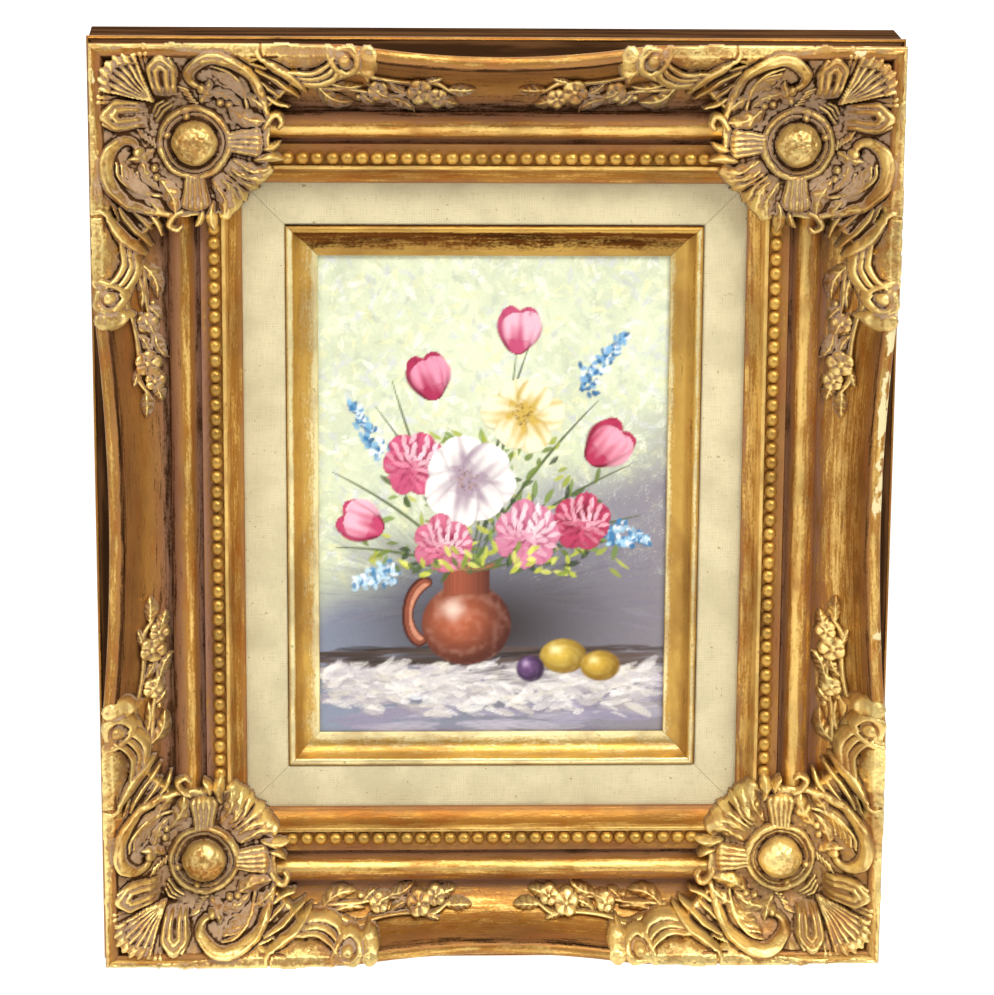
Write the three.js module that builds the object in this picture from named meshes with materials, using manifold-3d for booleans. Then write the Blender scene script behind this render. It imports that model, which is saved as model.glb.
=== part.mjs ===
// Framed oil painting: a swept gilt frame with planted corner ornaments and flower sprays, a linen
// liner, a gilt slip and a painted board. Millimetres, +Z up, the picture faces -Y, and the origin
// is on the flat back of the hanger plate, at its centre.
import * as THREE from "three";
import { mergeVertices } from "three/addons/utils/BufferGeometryUtils.js";
import Module from "manifold-3d";

const wasm = await Module();
wasm.setup();

// Picture opening and the faces that surround it, from the picture outwards
const SIGHT_WIDTH = 120.5;
const SIGHT_HEIGHT = 168;
const SLIP_FACE = 10.7;
const LINEN_FACE = 14.6;

// Heights of the faces in front of the frame's back
const BOARD_FRONT = 11;
const SLIP_EDGE_RISE = 1.4;
const SLIP_BEAD_HEIGHT = 18;
const LINEN_HEIGHT = 17.2;
const LIP_HEIGHT = 50.8;

// Board, backing and the steps that hold them
const BOARD_THICKNESS = 3;
const BOARD_OVERLAP = 5;
const SLIP_FLANGE = 4;
const SLIP_FLANGE_HEIGHT = 14.2;
const SLIP_BACK = 5;
const LINER_OVERLAP = 6.4;
const BACKING_THICKNESS = 2;
const BACKING_BACK = 2.6;

// Gilt slip profile
const SLIP_BEAD_WIDTH = 2.7;
const SLIP_COVE_SAG = 1.6;
const LINEN_EDGE_ROUND = 1.2;

// Moulding profile, from its sight edge outwards
const SIGHT_LIP_HEIGHT = 1.9;
const COVE_WIDTH = 5.2;
const COVE_RISE = 8.2;
const FILLET_WIDTH = 1.4;
const CHANNEL_DEPTH = 1.5;
const BEAD_LANE = 4.9;
const CHANNEL_FLAT = 2;
const GROOVE_WIDTH = 1.8;
const GROOVE_DEPTH = 2.1;
const TORUS_WIDTH = 9.2;
const TORUS_RISE = 6;
const SCOOP_WIDTH = 18.4;
const SCOOP_BOTTOM = 25;
const SCOOP_SAG = 5.5;
const LIP_WIDTH = 4.6;
const LIP_DROP = 4.4;
const RECESS_DEPTH = 2.3;
const STEP_BACK = 15;
const STEP_WIDTH = 2;
const BACK_FLARE = 3.4;

// Sweep of the lip: each rail's lip curves in towards its middle
const SWEEP = 4;
const SWEEP_INSET = 11;
const SWEEP_LEAD = 1.3;
const SWEEP_STEPS = 4;

// Bead course
const BEAD_DIAMETER = 4.3;
const BEAD_HEIGHT = 3;
const BEAD_PINCH = 0.4;
const BEAD_PITCH = 5.28;
const BEAD_STOP = 13.6;

// Ornaments, drawn on a moulding whose face is this wide and scaled with it. The boss sits this far
// out from the moulding's sight corner, both ways.
const ORNAMENT_DRAWN_FACE = 48;
const BOSS = 15.6;
const LEAF_RIB = 3.4;
const SPRAY_MIDDLE = 31.6;
const SPRAY_BEND = 1.6;

// Hanger, its nails and the points that hold the backing
const HANGER_LENGTH = 45;
const HANGER_WIDTH = 10;
const HANGER_GAUGE = 0.9;
const HANGER_RISE = 1.6;
const HANGER_FOOT = 9;
const TOOTH_COUNT = 7;
const TOOTH_DEPTH = 2.4;
const NAIL_SHANK = 1.4;
const NAIL_HEAD = 3.4;
const NAIL_HEAD_THICKNESS = 0.7;
const NAIL_LENGTH = 12;
const POINT_LENGTH = 14;
const POINT_WIDTH = 8;
const POINT_GAUGE = 0.5;
const POINT_SHARE = 0.32;

// Clearances
const SEAT_GAP = 0.3;
const FIT_GAP = 0.5;
const WELD_LENGTH = 0.004;

// Places worked out from the sizes above
const RAIL_BACK_Y = -(HANGER_RISE + HANGER_GAUGE + SEAT_GAP);
const MOULDING_SIGHT = SLIP_FACE + LINEN_FACE;
const RABBET = MOULDING_SIGHT + LINER_OVERLAP + FIT_GAP;
const FILLET_OUT = MOULDING_SIGHT + COVE_WIDTH + FILLET_WIDTH;
const GROOVE_IN = FILLET_OUT + BEAD_LANE + CHANNEL_FLAT;
const TORUS_IN = GROOVE_IN + GROOVE_WIDTH;
const TORUS_OUT = TORUS_IN + TORUS_WIDTH;
const LIP_IN = TORUS_OUT + SCOOP_WIDTH;
const LIP_OUT = LIP_IN + LIP_WIDTH;
const RAIL_OUT = LIP_OUT + BACK_FLARE;
const LEDGE_HEIGHT = LINEN_HEIGHT + SEAT_GAP;
const FILLET_HEIGHT = LEDGE_HEIGHT + SIGHT_LIP_HEIGHT + COVE_RISE;
const CHANNEL_HEIGHT = FILLET_HEIGHT - CHANNEL_DEPTH;
const PICTURE_Z = -(SIGHT_HEIGHT / 2 + (RABBET + RAIL_OUT) / 2);
const ORNAMENT_SCALE = (LIP_OUT - MOULDING_SIGHT) / ORNAMENT_DRAWN_FACE;

// Colours and finishes
const giltWood = { color: 0xa8732e, roughness: 0.45, metalness: 0.55 };
const giltOrnament = { color: 0xb98a42, roughness: 0.42, metalness: 0.55 };
const brightGilt = { color: 0xd9a441, roughness: 0.35, metalness: 0.6 };
const linen = { color: 0xdccfa6, roughness: 0.95, metalness: 0 };
const paint = { color: 0xb9b79a, roughness: 0.55, metalness: 0 };
const greyBoard = { color: 0x8f7f66, roughness: 0.95, metalness: 0 };
const zincSteel = { color: 0x9c9c98, roughness: 0.4, metalness: 0.9 };

// The four sides of the frame: which way each runs and which way is outwards
const SIDES = [
  { name: "top", along: "x", outward: 1 },
  { name: "bottom", along: "x", outward: -1 },
  { name: "left", along: "z", outward: -1 },
  { name: "right", along: "z", outward: 1 },
];
const CORNERS = [
  { name: "top_left", right: -1, up: 1 },
  { name: "top_right", right: 1, up: 1 },
  { name: "bottom_left", right: -1, up: -1 },
  { name: "bottom_right", right: 1, up: -1 },
];

// Turns every triangle of a geometry round if the closed shape is inside out.
function faceOutwards(geometry) {
  const place = geometry.getAttribute("position");
  const index = geometry.index.array;
  const corner = [0, 1, 2].map(() => new THREE.Vector3());
  let volume = 0;
  for (let i = 0; i < index.length; i += 3) {
    corner.forEach((point, k) => point.fromBufferAttribute(place, index[i + k]));
    volume += corner[0].dot(corner[1].clone().cross(corner[2]));
  }
  if (volume < 0) {
    for (let i = 0; i < index.length; i += 3) {
      [index[i + 1], index[i + 2]] = [index[i + 2], index[i + 1]];
    }
  }
  return geometry;
}

// Moves every vertex of a geometry by a function and gives back one closed, outward shape.
function warp(geometry, move) {
  const shape = mergeVertices(stripped(geometry), 1e-5);
  const place = shape.getAttribute("position");
  const point = new THREE.Vector3();
  for (let i = 0; i < place.count; i += 1) {
    point.fromBufferAttribute(place, i);
    const moved = move(point.x, point.y, point.z);
    place.setXYZ(i, moved.x, moved.y, moved.z);
  }
  return faceOutwards(shape);
}

// A copy with its places only, so that vertices at one place can merge.
function stripped(geometry) {
  const bare = geometry.clone();
  bare.deleteAttribute("normal");
  bare.deleteAttribute("uv");
  return bare;
}

function toSolid(geometry) {
  const shape = mergeVertices(stripped(geometry), 1e-5);
  const vertProperties = new Float32Array(shape.getAttribute("position").array);
  const triVerts = new Uint32Array(shape.index.array);
  return new wasm.Manifold(new wasm.Mesh({ numProp: 3, vertProperties, triVerts }));
}

function fromSolid(solid) {
  const mesh = solid.getMesh();
  return mainBody(mesh.vertProperties, mesh.triVerts);
}

// Finds the first member of a linked group of vertices.
function groupOf(links, vertex) {
  let first = vertex;
  while (links[first] !== first) {
    first = links[first];
  }
  return first;
}

// Links the vertices of every edge that a test picks out.
function linkEdges(count, triangles, picks) {
  const links = Array.from({ length: count }, (_, i) => i);
  triangles.forEach((triangle) => {
    triangle.forEach((from, k) => {
      const to = triangle[(k + 1) % 3];
      if (picks(from, to)) {
        links[groupOf(links, from)] = groupOf(links, to);
      }
    });
  });
  return links;
}

// Welds hairline edges shut, and keeps the largest body: crumbs that a cut frees fall away.
function mainBody(places, corners) {
  const at = (i) => new THREE.Vector3().fromArray(places, 3 * i);
  const count = places.length / 3;
  const numbers = Array.from({ length: corners.length / 3 }, (_, i) => 3 * i);
  const triangles = numbers.map((i) => [...corners.slice(i, i + 3)]);
  const welds = linkEdges(count, triangles, (from, to) => at(from).distanceTo(at(to)) < WELD_LENGTH);
  const welded = triangles
    .map((triangle) => triangle.map((vertex) => groupOf(welds, vertex)))
    .filter(([a, b, c]) => a !== b && b !== c && c !== a);
  const bodies = linkEdges(count, welded, () => true);
  const volumes = new Map();
  welded.forEach(([a, b, c]) => {
    const body = groupOf(bodies, a);
    volumes.set(body, (volumes.get(body) ?? 0) + at(a).dot(at(b).cross(at(c))));
  });
  const [largest] = [...volumes.keys()].sort((a, b) => volumes.get(b) - volumes.get(a));
  const kept = welded.filter(([a]) => groupOf(bodies, a) === largest);
  const geometry = new THREE.BufferGeometry();
  const points = kept.flat().flatMap((vertex) => at(vertex).toArray());
  geometry.setAttribute("position", new THREE.Float32BufferAttribute(points, 3));
  return mergeVertices(geometry, 1e-6);
}

function joinSolids(solids) {
  return solids.reduce((whole, next) => whole.add(next));
}

function namedMesh(name, geometry, finish) {
  const mesh = new THREE.Mesh(geometry, new THREE.MeshStandardMaterial(finish));
  mesh.name = name;
  return mesh;
}

// A closed outline of [across, height] points, run from 0 to 1 in equal steps for a warp to place.
function runSection(points, steps) {
  const shape = new THREE.Shape(points.map(([across, height]) => new THREE.Vector2(across, height)));
  return new THREE.ExtrudeGeometry(shape, { depth: 1, steps, bevelEnabled: false });
}

// Points of a quarter-wave curve between two [across, height] ends. Bulge is how far it bows.
function bowed(from, to, bulge, count) {
  const run = new THREE.Vector2(to[0] - from[0], to[1] - from[1]);
  const side = new THREE.Vector2(-run.y, run.x).normalize();
  return Array.from({ length: count }, (_, i) => {
    const t = (i + 1) / (count + 1);
    const bow = bulge * Math.sin(Math.PI * t);
    return [from[0] + run.x * t + side.x * bow, from[1] + run.y * t + side.y * bow];
  });
}

// Front line of the moulding from its sight edge to under its lip, as [outwards, height].
function mouldingFrontLine() {
  const coveFoot = [MOULDING_SIGHT, LEDGE_HEIGHT + SIGHT_LIP_HEIGHT];
  const coveTop = [FILLET_OUT - FILLET_WIDTH, FILLET_HEIGHT];
  const grooveHeight = CHANNEL_HEIGHT - GROOVE_DEPTH;
  const torusFoot = [TORUS_IN, grooveHeight + 0.2 * GROOVE_DEPTH];
  const torusOut = [TORUS_OUT, SCOOP_BOTTOM];
  const torusMiddle = (TORUS_IN + TORUS_OUT) / 2;
  const torusTop = SCOOP_BOTTOM + TORUS_RISE;
  const lipShoulder = [LIP_IN, LIP_HEIGHT - 0.4 * LIP_DROP];
  return [
    [MOULDING_SIGHT, LEDGE_HEIGHT],
    coveFoot,
    ...bowed(coveFoot, coveTop, -0.12 * COVE_WIDTH, 1),
    coveTop,
    [FILLET_OUT, FILLET_HEIGHT],
    [FILLET_OUT, CHANNEL_HEIGHT],
    [GROOVE_IN, CHANNEL_HEIGHT],
    [GROOVE_IN + GROOVE_WIDTH / 2, grooveHeight],
    torusFoot,
    [TORUS_IN + 0.07 * TORUS_WIDTH, SCOOP_BOTTOM + 0.55 * TORUS_RISE],
    [torusMiddle - 0.18 * TORUS_WIDTH, torusTop],
    [torusMiddle + 0.1 * TORUS_WIDTH, torusTop],
    [TORUS_OUT - 0.14 * TORUS_WIDTH, SCOOP_BOTTOM + 0.5 * TORUS_RISE],
    torusOut,
    ...bowed(torusOut, lipShoulder, -SCOOP_SAG, 3),
    lipShoulder,
    [LIP_IN + 0.3 * LIP_WIDTH, LIP_HEIGHT],
    [LIP_IN + 0.75 * LIP_WIDTH, LIP_HEIGHT],
    [LIP_OUT, LIP_HEIGHT - 0.4 * LIP_DROP],
    [LIP_OUT - 0.15 * LIP_WIDTH, LIP_HEIGHT - LIP_DROP],
  ];
}

const FRONT_LINE = mouldingFrontLine();

// Height of the moulding's front above the frame's back, at a distance outwards from the picture.
function mouldingHeight(outwards) {
  const line = FRONT_LINE;
  for (let i = 1; i < line.length - 1; i += 1) {
    const [from, to] = [line[i], line[i + 1]];
    if (outwards >= from[0] && outwards <= to[0] && to[0] > from[0]) {
      return from[1] + ((to[1] - from[1]) * (outwards - from[0])) / (to[0] - from[0]);
    }
  }
  return outwards < MOULDING_SIGHT ? LEDGE_HEIGHT : LIP_HEIGHT;
}

// Whole section of a rail: the front line, the stepped side wall, the back and the rabbet.
function railSection() {
  const recess = LIP_OUT - RECESS_DEPTH;
  const recessTop = LIP_HEIGHT - LIP_DROP - RECESS_DEPTH;
  const stepTop = LIP_HEIGHT - STEP_BACK;
  return [
    ...FRONT_LINE,
    [recess, (recessTop + stepTop) / 2],
    [LIP_OUT + 0.5 * STEP_WIDTH, stepTop],
    [LIP_OUT + STEP_WIDTH, stepTop - 0.6 * STEP_WIDTH],
    [LIP_OUT + 0.8 * STEP_WIDTH, stepTop - 2.4 * STEP_WIDTH],
    [RAIL_OUT, 0],
    [RABBET, 0],
    [RABBET, LEDGE_HEIGHT],
  ];
}

// Half of the sight opening along a side, and half of it across that side.
function halfSight(side) {
  const halves = { x: SIGHT_WIDTH / 2, z: SIGHT_HEIGHT / 2 };
  return { along: halves[side.along], across: halves[side.along === "x" ? "z" : "x"] };
}

// A point given by its distance along a side, outwards from the picture and in front of the back.
function framePoint(side, along, outwards, height) {
  const across = side.outward * (halfSight(side).across + outwards);
  const y = RAIL_BACK_Y - height;
  return side.along === "x"
    ? new THREE.Vector3(along, y, PICTURE_Z + across)
    : new THREE.Vector3(across, y, PICTURE_Z + along);
}

// Where the sweep ends, as a share of the rail's half length.
function sweepEnd(side) {
  const half = halfSight(side).along;
  return (half - SWEEP_INSET) / (half + LIP_OUT);
}

// How far the lip curves in at a station, from -1 to 1 along a rail.
function sweepAt(side, station) {
  const share = Math.min(1, Math.abs(station) / sweepEnd(side));
  return SWEEP * (1 - share * share);
}

// How much of the sweep a point of the section follows: all of it at the lip, none at the torus.
function sweepShare(outwards, height) {
  if (height < SCOOP_BOTTOM || outwards < TORUS_OUT) {
    return 0;
  }
  if (height < LIP_HEIGHT - STEP_BACK + STEP_WIDTH && outwards > LIP_IN) {
    return 0;
  }
  return Math.min(1, (outwards - TORUS_OUT) / SCOOP_WIDTH);
}

// Runs a section round one side with mitred ends.
function mitredRun(side, section, steps, stationAt, sweeps) {
  return warp(runSection(section, steps), (outwards, height, t) => {
    const station = stationAt(t);
    const along = station * (halfSight(side).along + outwards);
    const sweep = sweeps ? sweepAt(side, station) * sweepShare(outwards, height) : 0;
    return framePoint(side, along, outwards - sweep, height);
  });
}

// Stations of a straight run: its two mitred ends.
function straightStation(t) {
  return 2 * t - 1;
}

// Stations of a swept rail: its ends, the ends of the sweep and even steps between them.
function sweptStation(side) {
  const end = sweepEnd(side);
  const steps = SWEEP_STEPS + 2;
  return (t) => {
    const step = Math.round(t * steps);
    if (step === 0 || step === steps) {
      return step === 0 ? -1 : 1;
    }
    return end * ((2 * (step - 1)) / SWEEP_STEPS - 1);
  };
}

function plainRail(side) {
  return mitredRun(side, railSection(), SWEEP_STEPS + 2, sweptStation(side), true);
}

// The row of beads: one ridge that swells at each bead and pinches in between.
function beadCourse(side) {
  const reach = 2 * (halfSight(side).along + BEAD_STOP);
  const beads = Math.floor(reach / BEAD_PITCH);
  const middle = FILLET_OUT + BEAD_LANE / 2;
  const ridge = [[-1, 0], [0, 1], [1, 0], [0, -1]];
  return warp(runSection(ridge, 2 * beads), (across, rise, t) => {
    const station = Math.round(t * 2 * beads);
    const swell = station % 2 === 0 ? BEAD_PINCH : 1;
    const along = (station / 2 - beads / 2) * BEAD_PITCH;
    const outwards = middle + (across * swell * BEAD_DIAMETER) / 2;
    const lift = rise > 0 ? swell * BEAD_HEIGHT : CHANNEL_DEPTH * rise;
    return framePoint(side, along, outwards, CHANNEL_HEIGHT + lift);
  });
}

// Places a point of an ornament: it is drawn for the top left corner, in drawn millimetres out from
// the moulding's sight corner to the left and upwards, with its height above the frame's back.
function ornamentPoint(corner, left, up, height) {
  const right = SIGHT_WIDTH / 2 + MOULDING_SIGHT + left * ORNAMENT_SCALE;
  const high = SIGHT_HEIGHT / 2 + MOULDING_SIGHT + up * ORNAMENT_SCALE;
  return new THREE.Vector3(corner.right * right, RAIL_BACK_Y - height, PICTURE_Z + corner.up * high);
}

// Height of the plain frame under a drawn ornament point.
function groundHeight(left, up) {
  return mouldingHeight(MOULDING_SIGHT + Math.max(left, up) * ORNAMENT_SCALE);
}

// Height of an ornament feature: 0 is the bottom of the scoop and 1 is the top of the lip.
function reliefHeight(share) {
  return SCOOP_BOTTOM + share * (LIP_HEIGHT - SCOOP_BOTTOM);
}

// A ridge swept along drawn points [left, up, relief share of its crest], tapered at its ends.
function scroll(corner, points, width, steps) {
  const route = new THREE.CatmullRomCurve3(points.map((point) => new THREE.Vector3(...point)));
  const ridge = [[-1, 0], [0, 1], [1, 0]];
  return warp(runSection(ridge, steps), (across, top, t) => {
    const at = route.getPoint(t);
    const tangent = route.getTangent(t);
    const turn = Math.hypot(tangent.x, tangent.y);
    const swell = 0.5 + 0.5 * Math.sin(Math.PI * (0.12 + 0.88 * t));
    const left = at.x + (-tangent.y / turn) * across * swell * width;
    const up = at.y + (tangent.x / turn) * across * swell * width;
    return ornamentPoint(corner, left, up, top > 0.5 ? reliefHeight(at.z) : LEDGE_HEIGHT);
  });
}

// A fluted fan: flutes spread from an apex, and each flute ends in a rounded scallop.
function flutedFan(corner, fan) {
  const section = [[-1, 0]];
  for (let i = 0; i <= 2 * fan.flutes; i += 1) {
    section.push([i / fan.flutes - 1, i % 2 === 0 ? 1 : 2]);
  }
  section.push([1, 0]);
  return warp(runSection(section, 1), (across, level, t) => {
    const angle = fan.facing + across * fan.halfAngle;
    const scallop = level > 1.5 || t < 0.5 ? 0 : fan.scallop;
    const reach = fan.inner + (fan.outer - fan.inner) * t - scallop;
    const left = fan.left + Math.cos(angle) * reach;
    const up = fan.up + Math.sin(angle) * reach;
    const top = reliefHeight(fan.innerShare + (fan.outerShare - fan.innerShare) * t);
    const height = level < 0.5 ? LEDGE_HEIGHT : top + (level > 1.5 ? fan.ridge : 0);
    return ornamentPoint(corner, left, up, height);
  });
}

// A leaf between two drawn points: pointed at both ends, with a raised middle rib.
function leaf(corner, from, to, width) {
  const tips = [new THREE.Vector3(...from), new THREE.Vector3(...to)];
  const run = tips[1].clone().sub(tips[0]);
  const turn = Math.hypot(run.x, run.y);
  return warp(new THREE.OctahedronGeometry(1), (x, y, z) => {
    const at = tips[0].clone().addScaledVector(run, (x + 1) / 2);
    const left = at.x - (run.y / turn) * z * width;
    const up = at.y + (run.x / turn) * z * width;
    const rib = Math.abs(y) * LEAF_RIB * Math.sign(y);
    return ornamentPoint(corner, left, up, reliefHeight(at.z) + rib);
  });
}

// The plate that widens the lip beside a corner: an outline [left, up, relief share] with a foot.
function lipPanel(corner, outline) {
  const rim = outline.map(([left, up]) => [left, up]);
  return warp(runSection(rim, 1), (left, up, t) => {
    const away = (point) => Math.hypot(point[0] - left, point[1] - up);
    const nearest = outline.reduce((best, point) => (away(point) < away(best) ? point : best));
    return ornamentPoint(corner, left, up, t > 0.5 ? reliefHeight(nearest[2]) : LEDGE_HEIGHT);
  });
}

// A rounded knob on a straight-sided foot: boss, pearl, lobe or flower.
function knob(corner, knobSize) {
  const { left, up, radius, sides, base, shoulder, top } = knobSize;
  const profile = [
    [0, LEDGE_HEIGHT],
    [1, LEDGE_HEIGHT],
    [1, reliefHeight(base)],
    [0.72, reliefHeight(shoulder)],
    [0, reliefHeight(top)],
  ].map(([across, height]) => new THREE.Vector2(across, height));
  return warp(new THREE.LatheGeometry(profile, sides), (x, height, z) =>
    ornamentPoint(corner, left + x * radius, up + z * radius, height));
}

// The ornament's bed: a sloping plate from the boss to the outline of the casting.
function ornamentBed(corner, centre, rimPoints, centreShare) {
  const sides = rimPoints.length;
  const profile = [
    [0, LEDGE_HEIGHT],
    [1, LEDGE_HEIGHT],
    [1, LEDGE_HEIGHT + 1],
    [0, LEDGE_HEIGHT + 2],
  ].map(([across, height]) => new THREE.Vector2(across, height));
  return warp(new THREE.LatheGeometry(profile, sides), (x, height, z) => {
    const distance = Math.hypot(x, z);
    if (distance < 0.5) {
      const middleHeight = height > LEDGE_HEIGHT + 1.5 ? reliefHeight(centreShare) : LEDGE_HEIGHT;
      return ornamentPoint(corner, centre, centre, middleHeight);
    }
    const turn = (Math.atan2(x, z) / (2 * Math.PI) + 1) % 1;
    const [left, up, lift] = rimPoints[Math.round(turn * sides) % sides];
    const rimHeight = height > LEDGE_HEIGHT + 0.5 ? groundHeight(left, up) + lift : LEDGE_HEIGHT;
    return ornamentPoint(corner, left, up, rimHeight);
  });
}

// Each feature drawn for one side of the diagonal, and again for the other side.
function bothSides(make) {
  const drawn = (left, up, ...rest) => [left, up, ...rest];
  const swapped = (left, up, ...rest) => [up, left, ...rest];
  return [make(drawn), make(swapped)];
}

// Outline of the bed on one side of the diagonal, from the inner corner to the outer corner.
const BED_RIM = [
  [-3.6, -3.6, 1.2],
  [-7.6, 0.8, 1.2],
  [-9.6, 8.4, 1.6],
  [-11.6, 14.5, 1.6],
  [-10.8, 20.6, 1.6],
  [-8.6, 27, 2],
  [-4.4, 37, 1.6],
  [2, 42.5, 1],
  [10, 43.4, 1],
  [18, 42.6, 1],
  [27, 45.6, 1],
  [45, 45, 1],
];

function bedOutline() {
  const secondSide = BED_RIM.slice(1, -1).reverse().map(([left, up, lift]) => [up, left, lift]);
  return [...BED_RIM, ...secondSide];
}

function cornerShapes(corner) {
  const shapes = [
    ornamentBed(corner, BOSS, bedOutline(), 0.33),
    knob(corner, { left: BOSS, up: BOSS, radius: 11.6, sides: 9, base: 0.37, shoulder: 0.43, top: 0.39 }),
    knob(corner, { left: BOSS, up: BOSS, radius: 7.4, sides: 8, base: 0.44, shoulder: 0.58, top: 0.64 }),
    flutedFan(corner, {
      left: 27, up: 27, facing: Math.PI / 4, halfAngle: 0.62, inner: 2, outer: 20.6, flutes: 6,
      scallop: 1.6, ridge: 1.2, innerShare: 0.5, outerShare: 1.01,
    }),
    flutedFan(corner, {
      left: BOSS, up: BOSS, facing: (-3 * Math.PI) / 4, halfAngle: 0.42, inner: 10, outer: 27, flutes: 3,
      scallop: 2, ridge: 1, innerShare: 0.35, outerShare: -0.08,
    }),
  ];
  const paired = [
    (side) => flutedFan(corner, {
      left: side(-2, BOSS)[0], up: side(-2, BOSS)[1], facing: side(1, 0)[0] ? Math.PI : -Math.PI / 2,
      halfAngle: 1.25, inner: -5, outer: 4.6, flutes: 4, scallop: 0.9, ridge: 1,
      innerShare: 0.35, outerShare: 0.29,
    }),
    (side) => knob(corner, {
      left: side(23.2, 36.6)[0], up: side(23.2, 36.6)[1], radius: 5.6, sides: 7,
      base: 0.66, shoulder: 0.84, top: 0.74,
    }),
    (side) => scroll(corner, [
      side(12.4, 31.6, 0.6), side(14.6, 36.2, 0.75), side(11.6, 41, 0.95), side(6, 43.2, 1.05),
      side(0.2, 41.8, 1.04), side(-4.2, 37.4, 0.9), side(-6.4, 31.6, 0.7), side(-7.9, 25.6, 0.5),
      side(-8.6, 19.2, 0.37),
    ], 2.6, 7),
    (side) => lipPanel(corner, [
      side(30, 47.2, 1.05), side(30, 42, 1), side(8, 40, 0.9), side(-6, 37.4, 0.86), side(-18, 36.8, 0.84),
      side(-26, 38, 0.88), side(-31.4, 41, 0.96), side(-36, 47.2, 1.05),
    ]),
    (side) => knob(corner, {
      left: side(-34, 42.4)[0], up: side(-34, 42.4)[1], radius: 3.4, sides: 6,
      base: 0.98, shoulder: 1.06, top: 1.04,
    }),
    (side) => leaf(corner, side(-1, 36, 0.8), side(-24, 30.6, 0.42), 3),
  ];
  paired.forEach((make) => shapes.push(...bothSides(make)));
  return shapes;
}

// A corner casting, cut to the moulding that it is planted on.
function cornerOrnament(corner, cutters) {
  const whole = joinSolids(cornerShapes(corner).map(toSolid));
  return cutters.reduce((rest, cutter) => rest.subtract(cutter), whole);
}

// Stations of a flower spray from the corner to its tip: how far along, how wide and how high.
const SPRAY_STATIONS = [
  [-25, 0.8, 0.8],
  [-31, 4.2, 2.4],
  [-38, 1.6, 1.4],
  [-43, 5, 2.6],
  [-48, 4.6, 4.2],
  [-52, 1.6, 1.8],
  [-57, 4.6, 2.4],
  [-61.6, 3.4, 4],
  [-65.4, 1.5, 1.8],
  [-70, 3.2, 2.4],
  [-80.5, 0.6, 0.8],
];

// Height of the swept scoop at a place along a side, at a distance outwards from the picture.
function sweptHeight(side, along, outwards) {
  const sweep = sweepAt(side, along / (halfSight(side).along + outwards));
  const share = Math.max(0, (outwards - TORUS_OUT) / SCOOP_WIDTH);
  return mouldingHeight(outwards + sweep * share * SWEEP_LEAD);
}

// A flower spray in the scoop: leaves and flowers swell and pinch along a curved stem.
function flowerSpray(corner, side) {
  const steps = SPRAY_STATIONS.length - 1;
  const start = SPRAY_STATIONS[0][0];
  const length = start - SPRAY_STATIONS[steps][0];
  const ring = [[-1, 0], [-0.45, 1], [0.45, 1], [1, 0], [0, -1]];
  return warp(runSection(ring, steps), (across, level, t) => {
    const [drawn, halfWidth, rise] = SPRAY_STATIONS[Math.round(t * steps)];
    const bend = Math.sin((Math.PI * (drawn - start)) / length);
    const out = SPRAY_MIDDLE - SPRAY_BEND * bend + across * halfWidth;
    const along = halfSight(side).along + MOULDING_SIGHT + drawn * ORNAMENT_SCALE;
    const ground = sweptHeight(side, along, MOULDING_SIGHT + out * ORNAMENT_SCALE) + 2 * SEAT_GAP;
    const height = ground + (level > 0.5 ? rise : 0);
    return side.along === "z"
      ? ornamentPoint(corner, out, drawn, height)
      : ornamentPoint(corner, drawn, out, height);
  });
}

// Liner section: a flat linen-covered face with a rounded inner edge, over a rabbet for the slip.
function linerSection() {
  const inner = SLIP_FACE + SEAT_GAP;
  const flangeTop = SLIP_FLANGE_HEIGHT + SEAT_GAP;
  const slipOut = SLIP_FACE + SLIP_FLANGE + FIT_GAP;
  const outer = RABBET - FIT_GAP;
  const back = BACKING_BACK + BACKING_THICKNESS + SEAT_GAP;
  return [
    [inner, flangeTop],
    [inner, LINEN_HEIGHT - LINEN_EDGE_ROUND],
    [inner + 0.3 * LINEN_EDGE_ROUND, LINEN_HEIGHT - 0.3 * LINEN_EDGE_ROUND],
    [inner + LINEN_EDGE_ROUND, LINEN_HEIGHT],
    [outer, LINEN_HEIGHT],
    [outer, back],
    [slipOut, back],
    [slipOut, flangeTop],
  ];
}

// Slip section: a bright bead at the linen, a cove down to the picture and a rabbet for the board.
function slipSection() {
  const front = BOARD_FRONT + SEAT_GAP;
  const coveFoot = [0.5, front + SLIP_EDGE_RISE];
  const coveTop = [SLIP_FACE - SLIP_BEAD_WIDTH, SLIP_BEAD_HEIGHT - 0.45 * SLIP_BEAD_WIDTH];
  const boardOut = BOARD_OVERLAP + FIT_GAP;
  return [
    [0, front],
    [0, front + SLIP_EDGE_RISE],
    coveFoot,
    ...bowed(coveFoot, coveTop, -SLIP_COVE_SAG, 3),
    coveTop,
    [SLIP_FACE - 0.75 * SLIP_BEAD_WIDTH, SLIP_BEAD_HEIGHT - 0.1 * SLIP_BEAD_WIDTH],
    [SLIP_FACE - 0.4 * SLIP_BEAD_WIDTH, SLIP_BEAD_HEIGHT],
    [SLIP_FACE - 0.1 * SLIP_BEAD_WIDTH, SLIP_BEAD_HEIGHT - 0.2 * SLIP_BEAD_WIDTH],
    [SLIP_FACE, SLIP_BEAD_HEIGHT - 0.5 * SLIP_BEAD_WIDTH],
    [SLIP_FACE, SLIP_FLANGE_HEIGHT],
    [SLIP_FACE + SLIP_FLANGE, SLIP_FLANGE_HEIGHT],
    [SLIP_FACE + SLIP_FLANGE, SLIP_BACK],
    [boardOut, SLIP_BACK],
    [boardOut, front],
  ];
}

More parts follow.
